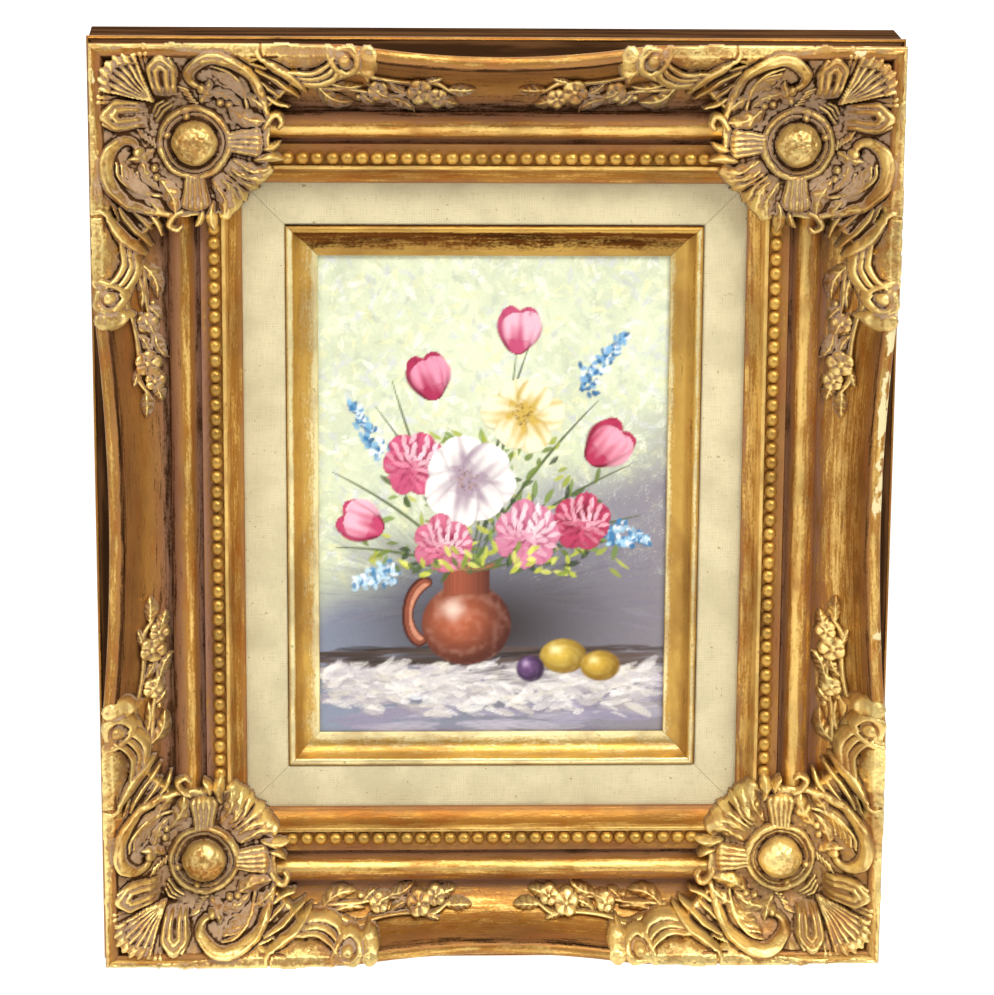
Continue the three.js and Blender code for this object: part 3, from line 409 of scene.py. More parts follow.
def nearest(values, line):
    """For each value, which point of an evenly spaced line is nearest."""
    steps = np.rint((values - line[0]) / (line[1] - line[0]))
    return np.clip(steps, 0, len(line) - 1).astype(int)


places = np.empty(len(painted_board.data.vertices) * 3)
painted_board.data.vertices.foreach_get("co", places)
places = places.reshape(-1, 3) / MM
shown = paint[nearest(places[:, 2] - PICTURE_Z, upward), nearest(places[:, 0], across)]
colours = painted_board.data.color_attributes.new("Paint", "FLOAT_COLOR", "POINT")
colours.data.foreach_set("color", np.column_stack([shown, np.ones(len(shown))]).ravel())

# Gilt slip.
# Four short mouldings of wood under gesso and bright leaf, mitred round the picture. Each has a bead
# against the linen and a hollow that runs down to the picture. Small brads hold it in the liner.

SLIP_FACE, SLIP_BEAD, SLIP_BEAD_HEIGHT, SLIP_BEAD_ROUND = 10.7, 2.7, 18.0, 1.35
SLIP_SHOULDER, SLIP_REBATE, SLIP_BACK = 14.2, 5.5, 5.0
LINER_LAP, MITRE_GAP = 4.0, 0.06
DECIMETRE = 100
# Each side: whether it is upright, and which way is outwards on it.
SIDES = {"top": (False, 1.0), "bottom": (False, -1.0), "left": (True, -1.0), "right": (True, 1.0)}


def bow(start, end, sag, count):
    """Points between two section points, on a curve that sags to one side."""
    t = np.linspace(0, 1, count + 2)[:, None]
    run = np.subtract(end, start)
    side = np.array([-run[1], run[0]]) / np.hypot(*run)
    return [tuple(p) for p in np.array(start) + run * t + side * sag * np.sin(math.pi * t)]


def arc(centre, across_radius, rise, first, last, count):
    """Points on part of an ellipse, from one angle in degrees to another."""
    angles = np.radians(np.linspace(first, last, count))
    return [(centre[0] + across_radius * math.cos(a), centre[1] + rise * math.sin(a)) for a in angles]


def side_point(side, along, outwards, height):
    """Place of a point on one side, from how far it lies along that side, outwards and up."""
    upright, outward = SIDES[side]
    y = -(WALL_GAP + height)
    if upright:
        return (outward * (SIGHT_WIDTH / 2 + outwards) * MM, y * MM, (PICTURE_Z + along) * MM)
    return (along * MM, y * MM, (PICTURE_Z + outward * (SIGHT_HEIGHT / 2 + outwards)) * MM)


def half_run(side):
    """Half the length of the picture's edge on one side."""
    return (SIGHT_HEIGHT if SIDES[side][0] else SIGHT_WIDTH) / 2


def round_section(section):
    """A section closed on itself, and the way round it to each of its points in decimetres."""
    closed = list(section) + [section[0]]
    steps = np.hypot(*np.diff(np.array(closed), axis=0).T)
    return closed, np.concatenate([[0], np.cumsum(steps)]) / DECIMETRE


def run_side(side, section, stations, shift=None, gap=MITRE_GAP):
    """Runs a section round one side with mitred ends, and lays the UV map "Run" on it in decimetres."""
    half = half_run(side)
    closed, round_way = round_section(section)
    shape = bmesh.new()
    run_map = shape.loops.layers.uv.new("Run")
    bmesh.ops.create_grid(shape, x_segments=len(section), y_segments=len(stations) - 1, size=0.5)

    def grid_place(vert):
        return (round((vert.co.x + 0.5) * len(section)),
                stations[round((vert.co.y + 0.5) * (len(stations) - 1))])

    for face in shape.faces:
        for corner in face.loops:
            k, station = grid_place(corner.vert)
            corner[run_map].uv = (station * (half + closed[k][0]) / DECIMETRE, round_way[k])
    for vert in shape.verts:
        k, station = grid_place(vert)
        outwards, height = closed[k]
        reach = half + outwards
        along = station * reach - (math.copysign(gap, station) if abs(station) > 0.999 else 0)
        moved = outwards - (shift(along / reach, outwards, height, side) if shift else 0)
        vert.co = side_point(side, along, moved, height)
    bmesh.ops.remove_doubles(shape, verts=shape.verts[:], dist=1e-7)
    close_up(shape)
    return shape


def sharpen(piece, degrees=38):
    """Marks the creases of a smooth-shaded piece, so that its flat faces stay flat."""
    piece.data.set_sharp_from_angle(angle=math.radians(degrees))


slip_foot = BOARD_FRONT + 0.3
slip_section = [
    (0.0, slip_foot), (0.0, slip_foot + 1.1), (0.25, slip_foot + 1.4),
    *bow((0.7, slip_foot + 1.4), (SLIP_FACE - SLIP_BEAD - 0.1, SLIP_BEAD_HEIGHT - 1.5), -1.5, 14),
    *arc((SLIP_FACE - SLIP_BEAD_ROUND, SLIP_BEAD_HEIGHT - SLIP_BEAD_ROUND),
         SLIP_BEAD_ROUND, SLIP_BEAD_ROUND, 160, 0, 12),
    (SLIP_FACE, SLIP_SHOULDER), (SLIP_FACE + LINER_LAP, SLIP_SHOULDER),
    (SLIP_FACE + LINER_LAP, SLIP_BACK), (SLIP_REBATE, SLIP_BACK), (SLIP_REBATE, slip_foot),
]


def mixed(tree, share, a, b):
    """A colour between two others. Each is a node's output or is written as six hex digits."""
    a, b = ((*tone(colour), 1) if isinstance(colour, str) else colour for colour in (a, b))
    return add(tree, "Mix", {"Factor": share, "A": a, "B": b}, "Result", data_type="RGBA")


def gilding_group():
    """Node group of worn gilding: burnished on crests, toned in hollows, streaked, dusty and flaked."""
    group = bpy.data.node_groups.new("Worn gilding", "ShaderNodeTree")
    for way, kind, names in (
        ("INPUT", "Vector", ["Vector"]), ("INPUT", "Color", ["Gold", "Bright", "Tone", "Dust"]),
        ("INPUT", "Float", ["Relief", "Wash", "Chips", "Wear", "Streaks", "Amber"]),
        ("OUTPUT", "Color", ["Colour"]), ("OUTPUT", "Float", ["Roughness", "Metallic", "Height"]),
    ):
        for name in names:
            group.interface.new_socket(name, in_out=way, socket_type="NodeSocket" + kind)
    given = group.nodes.new("NodeGroupInput").outputs

    def grain(scale, detail, rough=0.55, vector=given["Vector"]):
        return noise(group, vector, scale, detail, rough)

    def span(value, low, high, to_low=0.0, to_high=1.0):
        return remap(group, value, (low, high), (to_low, to_high), "SMOOTHSTEP")

    def maths(kind, a, b):
        return add(group, "Math", {0: a, 1: b}, "Value", operation=kind)

    def swing(value, amount):
        return maths("MULTIPLY", maths("SUBTRACT", value, 0.5), amount)

    drawn_out = add(group, "Mapping", {"Vector": given["Vector"], "Scale": (0.14, 1, 1)}, "Vector")
    fine, middle, broad = grain(1300, 3), grain(260, 4), grain(42, 3)
    # The relief decides between crest and hollow, and for the slip and rail lengths it also carries their
    # painted shade and light; it's made ragged so that no border is even.
    ragged = maths("ADD", swing(middle, 0.9), swing(fine, 0.85))
    ragged = maths("ADD", ragged, swing(grain(620, 4, 0.6, drawn_out), given["Streaks"]))
    relief = maths("ADD", given["Relief"], ragged)
    # Leaf, bright on its crests, under smoky and amber clouds of old varnish.
    colour = mixed(group, span(relief, 0.05, 0.75), given["Gold"], given["Bright"])
    smoky = span(maths("ADD", broad, maths("MULTIPLY", middle, 0.35)), 0.55, 0.86, 0.0, 0.45)
    colour = mixed(group, smoky, colour, given["Tone"])
    amber = maths("MULTIPLY", span(grain(80, 3), 0.47, 0.66), given["Amber"])
    colour = mixed(group, amber, colour, "A65F1C")
    dusty = maths("MULTIPLY", given["Wash"], span(maths("SUBTRACT", middle, relief), 0.1, 0.8))
    colour = mixed(group, dusty, colour, given["Dust"])
    # Dark toning in the hollows, streaked with soot.
    toned = span(relief, -0.4, -1.0)
    sooty = span(grain(170, 4, 0.6, drawn_out), 0.42, 0.62, 0.0, 0.8)
    colour = mixed(group, toned, colour, mixed(group, sooty, given["Tone"], "22130A"))
    # Rubbed leaf shows the red bole on crests, and flakes show the gesso.
    worn = maths("MULTIPLY", span(maths("ADD", grain(560, 4), given["Wear"]), 0.72, 0.84, 0.0, 0.55),
                 span(relief, -0.2, 0.4))
    colour = mixed(group, worn, colour, "5A2412")
    flaked = span(maths("ADD", maths("MULTIPLY", middle, 0.8), given["Chips"]), 0.86, 0.9)
    colour = mixed(group, flaked, colour, "DACB9A")
    dull = maths("MAXIMUM", maths("MAXIMUM", dusty, toned), maths("MAXIMUM", worn, flaked))
    give(group, group.nodes.new("NodeGroupOutput"), {
        "Colour": colour,
        "Roughness": maths("ADD", maths("MULTIPLY", dull, 0.36), span(middle, 0.3, 0.7, 0.3, 0.42)),
        "Metallic": maths("SUBTRACT", 0.78, maths("MULTIPLY", dull, 0.75)),
        "Height": maths("ADD", maths("MULTIPLY", fine, 0.5), middle),
    })
    return group


worn_gilding = gilding_group()


def gilt_material(name, gold, bright, toned, dust, amounts, attributes=(), run=False, bump=0.5):
    """A gilt finish in its own colours and amounts. Its attributes are vertex values of the piece."""
    material, tree, shader = new_material(name)
    if run:
        run_map = add(tree, "UVMap", {}, "UV", uv_map="Run")
        vector = add(tree, "Mapping", {"Vector": run_map, "Scale": (0.06, 0.1, 0.1)}, "Vector")
    else:
        vector = add(tree, "TexCoord", {}, "Object")
    group = tree.nodes.new("ShaderNodeGroup")
    group.node_tree = worn_gilding
    give(tree, group, {"Vector": vector, **amounts})
    for key, colour in (("Gold", gold), ("Bright", bright), ("Tone", toned), ("Dust", dust)):
        give(tree, group, {key: (*tone(colour), 1)})
    for key in attributes:
        give(tree, group, {key: add(tree, "Attribute", {}, "Fac", attribute_name=key)})
    give(tree, shader, {
        "Base Color": group.outputs["Colour"], "Roughness": group.outputs["Roughness"],
        "Metallic": group.outputs["Metallic"], "Specular IOR Level": 0.0,
        "Normal": bumped(tree, group.outputs["Height"], bump, 0.0003),
    })
    return material


def bands_of(piece, section, values, name, along_run=None):
    """Gives each vertex of a run the value of its section point, scaled by its place along the run."""
    run_map = piece.data.uv_layers["Run"].data
    round_way = round_section(section)[1]
    found = np.zeros(len(piece.data.vertices))
    for loop in piece.data.loops:
        station, v = run_map[loop.index].uv
        share = along_run(station * DECIMETRE) if along_run else 1.0
        found[loop.vertex_index] = np.interp(v, round_way, values) * share
    layer = piece.data.attributes.new(name, "FLOAT", "POINT")
    layer.data.foreach_set("value", found.astype(np.float32))


# Crest values of the slip's finish: a bright inner edge, a deep hollow, a rubbed bead and a dark foot.
slip_u = np.array(round_section(slip_section)[0])[:, 0]
slip_bands = np.interp(slip_u, [0, 0.6, 1.6, 4.0, 6.5, 7.9, 8.3, 9.2, 10.2, 10.7, 11.0],
                       [0.6, 0.8, 0.3, -0.1, -0.15, -0.35, 0.0, 0.8, 0.5, -0.6, -0.8])
slip_gilt = gilt_material("slip_leaf", "D4A852", "FFF0B4", "6E401A", "B59B6C",
                          {"Wash": 0.12, "Wear": 0.1, "Streaks": 1.2, "Amber": 0.15},
                          ["Relief"], run=True)
# Painted shade and light on the slip lengths, by how they face the light: the top length's
# downward-facing hollow is darkened, the right one's a little, and the left and bottom lengths are
# lightened.
SLIP_PAINTED_SHADE = {"top": -0.75, "right": -0.15, "left": 0.2, "bottom": 0.3}
for side in SIDES:
    slip = new_piece(f"slip_{side}_leafed", run_side(side, slip_section, [-1, 1]), "slip",
                     f"gilt_slip_{side}", slip_gilt)
    sharpen(slip)
    bands_of(slip, slip_section, slip_bands + SLIP_PAINTED_SHADE[side], "Relief")

# Linen liner.
# Four flat lengths of wood wrapped in natural linen before they were mitred, so that the weave meets
# in a seam at each corner. The liner sits in the rabbet of the moulding and holds the slip.

LINEN_FACE, LINEN_HEIGHT, LINEN_ROUND = 14.6, 17.2, 1.2
LINER_UNDER_RAIL, LINER_STEP, LINER_FOOT, LINER_BACK, LINEN_GAP = 6.2, 4.6, 14.5, 5.0, 0.08
MOULDING_SIGHT = SLIP_FACE + LINEN_FACE
linen_inner = SLIP_FACE + 0.15
liner_section = [
    (linen_inner, LINER_FOOT), (linen_inner, LINEN_HEIGHT - LINEN_ROUND),
    *arc((linen_inner + LINEN_ROUND, LINEN_HEIGHT - LINEN_ROUND), LINEN_ROUND, LINEN_ROUND, 165, 90, 6),
    (MOULDING_SIGHT + LINER_UNDER_RAIL, LINEN_HEIGHT), (MOULDING_SIGHT + LINER_UNDER_RAIL, LINER_BACK),
    (SLIP_FACE + LINER_STEP, LINER_BACK), (SLIP_FACE + LINER_STEP, LINER_FOOT),
]


def two_tone(tree, value, low, high, dark, pale):
    """A colour between a dark and a pale one, by where a value lies from low to high."""
    ramp = tree.nodes.new("ShaderNodeValToRGB")
    give(tree, ramp, {"Fac": value})
    for stop, position, colour in ((0, low, dark), (1, high, pale)):
        ramp.color_ramp.elements[stop].position = position
        ramp.color_ramp.elements[stop].color = (*tone(colour), 1)
    return ramp.outputs["Color"]


linen, tree, shader = new_material("natural_linen")
run_map = add(tree, "UVMap", {}, "UV", uv_map="Run")
wavy = add(tree, "TexNoise", {"Vector": run_map, "Scale": 60.0, "Detail": 2.0}, "Color")
bent = scaled(tree, wavy, (0.0022, 0.0022, 0.0))
threads = add(tree, "VectorMath", {0: run_map, 1: bent}, "Vector", operation="ADD")
warp, weft = (
    add(tree, "TexWave", {"Vector": threads, "Scale": 38.0}, "Fac", bands_direction=way,
        wave_profile="SIN")
    for way in "XY"
)
weave = add(tree, "Math", {0: warp, 1: weft}, "Value", operation="MULTIPLY")
slub, cross_slub = (
    noise(tree, add(tree, "Mapping", {"Vector": run_map, "Scale": stretch}, "Vector"), 3.0, 3.0)
    for stretch in ((7.0, 90.0, 1.0), (90.0, 7.0, 1.0))
)
slubs = add(tree, "Math", {0: slub, 1: cross_slub}, "Value", operation="ADD")
spot = add(tree, "TexCoord", {}, "Object")
stain = remap(tree, noise(tree, spot, 70.0, 4.0), (0.4, 0.68), (0, 0.5))
fleck = remap(tree, noise(tree, spot, 620.0, 2.0), (0.71, 0.76), (0, 0.75))
soiled = mixed(tree, stain, two_tone(tree, slubs, 0.5, 1.0, "BCAE84", "D7CBA4"), "B3A681")
# The weave darkens the cloth's colour between its threads: painted shade of the weave.
weave_shaded = scaled(tree, soiled, remap(tree, weave, (0, 1), (0.93, 1.02)))
give(tree, shader, {
    "Base Color": mixed(tree, fleck, weave_shaded, "8C7448"), "Roughness": 0.92, "Sheen Weight": 0.15,
    "Normal": bumped(tree, weave, 0.35),
})
for side in SIDES:
    liner = new_piece(f"liner_{side}_linen", run_side(side, liner_section, [-1, 1], gap=LINEN_GAP),
                      "linen", f"linen_liner_{side}", linen)
    sharpen(liner)

# Moulding rails.
# Four lengths of one wooden moulding, gessoed, gilded and toned, with a deep scoop that climbs to a
# swept lip. Each length is mitred, glued and nailed, and its lip curves in towards its middle.

COVE_TOP, FILLET_OUT = MOULDING_SIGHT + 5.2, MOULDING_SIGHT + 6.6
GROOVE_IN, TORUS_IN, TORUS_OUT = FILLET_OUT + 6.9, FILLET_OUT + 8.7, FILLET_OUT + 17.9
SCOOP_WIDTH = 18.4
LIP_IN, LIP_OUT, RAIL_OUT = TORUS_OUT + SCOOP_WIDTH, TORUS_OUT + 23.0, TORUS_OUT + 26.4
RABBET = MOULDING_SIGHT + 6.9
LEDGE_HEIGHT, FILLET_HEIGHT, CHANNEL_HEIGHT = LINEN_HEIGHT + 0.2, 27.6, 26.1
SCOOP_BOTTOM, TORUS_TOP, LIP_HEIGHT = 25.0, 31.0, 50.8
SWEEP, STRAIGHT_END = 4.0, 11.0
LIP_EDGE = (LIP_OUT, LIP_HEIGHT - 2.4)
torus_middle = (TORUS_IN + TORUS_OUT) / 2
front_line = [
    (MOULDING_SIGHT, LEDGE_HEIGHT), (MOULDING_SIGHT, 19.0), (MOULDING_SIGHT + 0.4, 19.5),
    *bow((MOULDING_SIGHT + 0.9, 19.6), (COVE_TOP, FILLET_HEIGHT - 0.2), -1.1, 8),
    (COVE_TOP + 0.25, FILLET_HEIGHT), (FILLET_OUT - 0.25, FILLET_HEIGHT),
    (FILLET_OUT, FILLET_HEIGHT - 0.3), (FILLET_OUT + 0.1, CHANNEL_HEIGHT), (GROOVE_IN, CHANNEL_HEIGHT),
    *arc((GROOVE_IN + 0.95, CHANNEL_HEIGHT - 0.3), 0.85, 1.8, 180, 340, 7),
    *arc((torus_middle, SCOOP_BOTTOM - 0.2), 4.6, TORUS_TOP + 0.2 - SCOOP_BOTTOM, 172, 8, 22),
    (TORUS_OUT + 0.1, SCOOP_BOTTOM),
    *bow((TORUS_OUT + 0.3, SCOOP_BOTTOM), (LIP_IN, LIP_HEIGHT - 1.76), -5.5, 26),
    *arc((LIP_IN + 2.3, LIP_HEIGHT - 1.9), 2.4, 1.9, 172, 8, 12),
    LIP_EDGE, (LIP_OUT - 0.3, LIP_HEIGHT - 3.6), (LIP_OUT - 0.9, LIP_HEIGHT - 4.6),
    *bow((LIP_OUT - 1.3, LIP_HEIGHT - 5.2), (LIP_OUT + 0.2, LIP_HEIGHT - 14.4), -1.6, 8),
    *arc((LIP_OUT + 0.9, LIP_HEIGHT - 16.2), 1.0, 1.4, 110, -60, 9),
    (LIP_OUT + 1.3, LIP_HEIGHT - 18.4),
]
rail_section = front_line + [(RAIL_OUT, 0.0), (RABBET, 0.0), (RABBET, LEDGE_HEIGHT)]


def drawn_in(side, station):
    """How far the lip is drawn in at a station: all the sweep in the middle, and none near the ends."""
    half = half_run(side)
    share = np.clip(np.abs(station) / ((half - STRAIGHT_END) / (half + LIP_OUT)), 0, 1)
    return SWEEP * (1 - share * share)


def swept(station, outwards, height, side):
    """How far a section point moves in with the lip's curve: fully at the lip, and not at the torus."""
    climb = np.clip((outwards - TORUS_OUT) / SCOOP_WIDTH, 0, 1)
    below = np.clip((height - (LIP_HEIGHT - 14)) / 7, 0, 1) if outwards > LIP_IN else 1.0
    return drawn_in(side, station) * climb * below * below * (3 - 2 * below)


# Crest values of the finish, by distance out from the picture: rubbed crests are high and toned hollows
# low, and a dark line at 68.2 parts the scoop from the lip. WASH is how dusty each place is.
BANDS = np.array([
    (25.3, -0.1), (27.4, 0.15), (28.4, 0.3), (29.5, 0.1), (30.4, 0.8), (31.8, 0.7), (32.1, -0.4),
    (33.4, -0.2), (36.0, 0.3), (37.0, 0.9), (38.4, 0.6), (38.9, -0.45), (40.4, -0.5), (41.6, 0.2),
    (42.8, 0.8), (44.4, 0.65), (45.6, 0.15), (48.0, 0.0), (49.8, -0.4), (51.5, -0.35), (54.5, -0.05),
    (60.0, 0.15), (67.0, 0.0), (68.2, -0.7), (68.6, -0.5), (69.2, 0.3), (70.8, 0.5), (72.4, 0.1),
])
WASH = np.array([
    (25.3, 0.5), (27.4, 0.1), (28.4, 0.05), (36.4, 0.1), (37.4, 0.3), (38.6, 0.4), (40.0, 0.8),
    (41.6, 0.3), (42.6, 0.05), (44.4, 0.1), (46.0, 0.6), (48.2, 0.85), (51.5, 0.9), (55.0, 0.4),
    (60.0, 0.15), (66.0, 0.3), (70.0, 0.4),
])
# The outside wall's own crest values, by how many section points a place is below the lip's edge.
BLACKENED = -2.6
WALL_BANDS = ([0, 3, 11, 14, 17, 20], [-0.6, -1.8, BLACKENED, -0.25, -0.3, BLACKENED])
lip_end = front_line.index(LIP_EDGE)
line_u = np.array(front_line)[:, 0]
rail_bands = np.interp(line_u, *BANDS.T)
rail_wash = np.interp(line_u, *WASH.T)
side_wall = np.arange(len(front_line)) > lip_end
rail_bands[side_wall] = np.interp(np.arange(side_wall.sum()), *WALL_BANDS)
rail_wash[side_wall] = 0.0
rail_bands = np.concatenate([rail_bands, [BLACKENED] * 3, rail_bands[:1]])
rail_wash = np.concatenate([rail_wash, [0.0] * 3, rail_wash[:1]])
section_u = np.array(round_section(rail_section)[0])[:, 0]
# Extra plum dust: on the right length it covers the sight wall and the foot of the cove as painted shade
# along the linen's right edge; on the left length it is dust in the strip and groove between the beads
# and the torus.
EXTRA_WASH_AND_SHADE = {
    "right": np.interp(section_u, [25.0, 27.2, 28.0], [0.6, 0.6, 0.0]),
    "left": np.interp(section_u, [36.4, 37.0, 40.0, 41.0], [0.0, 0.6, 0.6, 0.0]),
}
# Painted shade and light on the rail lengths, by how they face the light: the top scoop and the left
# torus and scoop are darkened, the right and bottom scoops lightened, the right cove lightened, and the
# bottom cove and lip darkened.
PAINTED_SIDE_SHADE = {
    "top": np.interp(section_u, [45.0, 50.0, 70.0, 72.0], [0.0, -0.45, -0.45, 0.0]),
    "left": np.interp(section_u, [39.0, 42.0, 70.0, 72.0], [0.0, -0.38, -0.38, 0.0]),
    "right": np.interp(section_u, [31.0, 31.5, 45.0, 50.0, 66.0, 68.0], [0.25, 0.0, 0.0, 0.3, 0.3, 0.0]),
    "bottom": np.interp(section_u, [31.0, 31.5, 45.0, 50.0, 66.0, 68.0, 71.0, 72.0],
                        [-0.2, 0.0, 0.0, 0.12, 0.12, -0.15, -0.15, 0.0]),
}
# Places along each side, with their reach, where leaf and gesso have flaked off the lip or the tips.
FLAKES = {
    "top": ((-148, 5), (118, 6), (152, 6)), "bottom": ((-70, 8), (88, 10)),
    "left": ((148, 6), (-96, 8)), "right": ((66, 20), (36, 24), (8, 14), (-42, 10), (150, 7)),
}
FLAKED_BELOW_LIP = 4
rail_flakes = np.interp(section_u, [67.5, 69.0, 70.4, 73.0, 76.0], [0.0, 0.36, 0.56, 0.56, 0.0])
rail_flakes[lip_end + FLAKED_BELOW_LIP:] = 0
rail_gilt = gilt_material("rail_leaf", "B07C36", "F6CC78", "553820", "97705A",
                          {"Wear": 0.1, "Streaks": 2.1, "Amber": 0.5}, ["Relief", "Wash", "Chips"],
                          run=True, bump=0.7)
bare_wood, tree, shader = new_material("bare_wood")
run_map = add(tree, "UVMap", {}, "UV", uv_map="Run")
lengthwise = add(tree, "Mapping", {"Vector": run_map, "Scale": (2.5, 60.0, 1.0)}, "Vector")
wood_grain = noise(tree, lengthwise, 1.0, 5.0)
give(tree, shader, {"Base Color": two_tone(tree, wood_grain, 0.34, 0.66, "8A6438", "B98F58"),
                    "Roughness": 0.8})
stations = np.concatenate([[-1], np.linspace(-0.94, 0.94, 48), [1]])


def flaking(side):
    """How strongly one side has flaked, as a function of the place along it."""
    places = FLAKES[side]
    return lambda along: max(math.exp(-((along - middle) / reach) ** 2) for middle, reach in places)


for side in SIDES:
    rail = new_piece(f"rail_{side}_gilt", run_side(side, rail_section, stations, swept), "moulding",
                     f"moulding_rail_{side}", rail_gilt, bare_wood)
    sharpen(rail, 50)
    bands_of(rail, rail_section, rail_bands + PAINTED_SIDE_SHADE[side], "Relief")
    bands_of(rail, rail_section, rail_wash + EXTRA_WASH_AND_SHADE.get(side, 0), "Wash")
    bands_of(rail, rail_section, rail_flakes, "Chips", flaking(side))
    for face in rail.data.polygons:
        face.material_index = int(face.normal.y > 0.95)

# Bead courses.
# Strings of turned-looking beads, pressed in composition and glued in the channel of the moulding
# beside its sight edge. They stop where the corner castings cover them.

BEAD_PITCH, BEAD_LANE, BEAD_STOP = 4.98, 4.9, 13.6
BEAD_ALONG, BEAD_ACROSS, BEAD_PROUD, BEAD_SEAT = 2.36, 2.3, 2.4, 0.8
bead_gilt = gilt_material("bead_leaf", "D0A452", "FFEBA0", "4A2A12", "8A6C4C",
                          {"Wash": 0.05, "Amber": 0.2})
for side in SIDES:
    count = int(2 * (half_run(side) + BEAD_STOP) / BEAD_PITCH)
    shape = bmesh.new()
    for k in range(count):
        bead = bmesh.ops.create_uvsphere(shape, u_segments=10, v_segments=7, radius=1)["verts"]
        middle = (k - (count - 1) / 2) * BEAD_PITCH + 0.12 * math.sin(k * 2.4)
        for vert in bead:
            run = math.copysign(abs(vert.co.z) ** 0.8, vert.co.z) * BEAD_ALONG
            outwards = FILLET_OUT + BEAD_LANE / 2 + vert.co.x * BEAD_ACROSS
            height = CHANNEL_HEIGHT + BEAD_SEAT + vert.co.y * BEAD_PROUD
            vert.co = side_point(side, middle + run, outwards, height)
    bmesh.ops.recalc_face_normals(shape, faces=shape.faces[:])
    new_piece(f"bead_course_{side}", shape, "moulding", f"moulding_rail_{side}", bead_gilt)

# Corner castings.
# Four castings of one composition mould, planted over the mitres and gilded with the rails: a domed
# boss in a ring, a fluted shell towards the corner, ribbed lobes, scrolls, leaves and stippled lips.

RELIEF_STEP = 0.36
relief_line = np.arange(-47.6, 48.2, RELIEF_STEP)
face_line = np.array(front_line[:lip_end + 1])


def ground(left, up):
    """Height of the bare moulding under a casting, by distance out from the moulding's sight edge."""
    out = np.maximum(left, up)
    height = np.interp(out, face_line[:, 0] - MOULDING_SIGHT, face_line[:, 1])
    return np.where(out < 0, LEDGE_HEIGHT - 0.2, height)


def smooth_route(points, count=60):
    """A smooth curve through drawn points, with every number of a point carried along."""
    points = np.array(points, float)
    spots = np.vstack([2 * points[0] - points[1], points, 2 * points[-1] - points[-2]])
    t = np.linspace(0, len(points) - 1, count)
    k = np.minimum(t.astype(int), len(points) - 2)
    f = (t - k)[:, None]
    a, b, c, d = spots[k], spots[k + 1], spots[k + 2], spots[k + 3]
    bend = 2 * a - 5 * b + 4 * c - d
    return 0.5 * (2 * b + (c - a) * f + bend * f ** 2 + (3 * b - a - 3 * c + d) * f ** 3)


def beside(left, up, route):
    """For each place: its signed distance from a route, and how far along the nearest point is."""
    best = np.full(left.shape, 1e9)
    side = np.zeros(left.shape)
    along = np.zeros(left.shape)
    count = len(route) - 1
    for k in range(count):
        start, run = route[k, :2], route[k + 1, :2] - route[k, :2]
        length = max(float(np.hypot(*run)), 1e-6)
        dx, dy = left - start[0], up - start[1]
        t = np.clip((dx * run[0] + dy * run[1]) / length ** 2, 0, 1)
        off_x, off_y = dx - t * run[0], dy - t * run[1]
        distance = np.hypot(off_x, off_y)
        nearer = distance < best
        best = np.where(nearer, distance, best)
        turn = np.sign(run[0] * off_y - run[1] * off_x)
        side = np.where(nearer, turn, side)
        along = np.where(nearer, (k + t) / count, along)
    return best * side, along


def dome(distance):
    """Rounded profile: 1 at no distance and 0 from distance 1 on."""
    return np.sqrt(np.clip(1 - distance * distance, 0, 1))


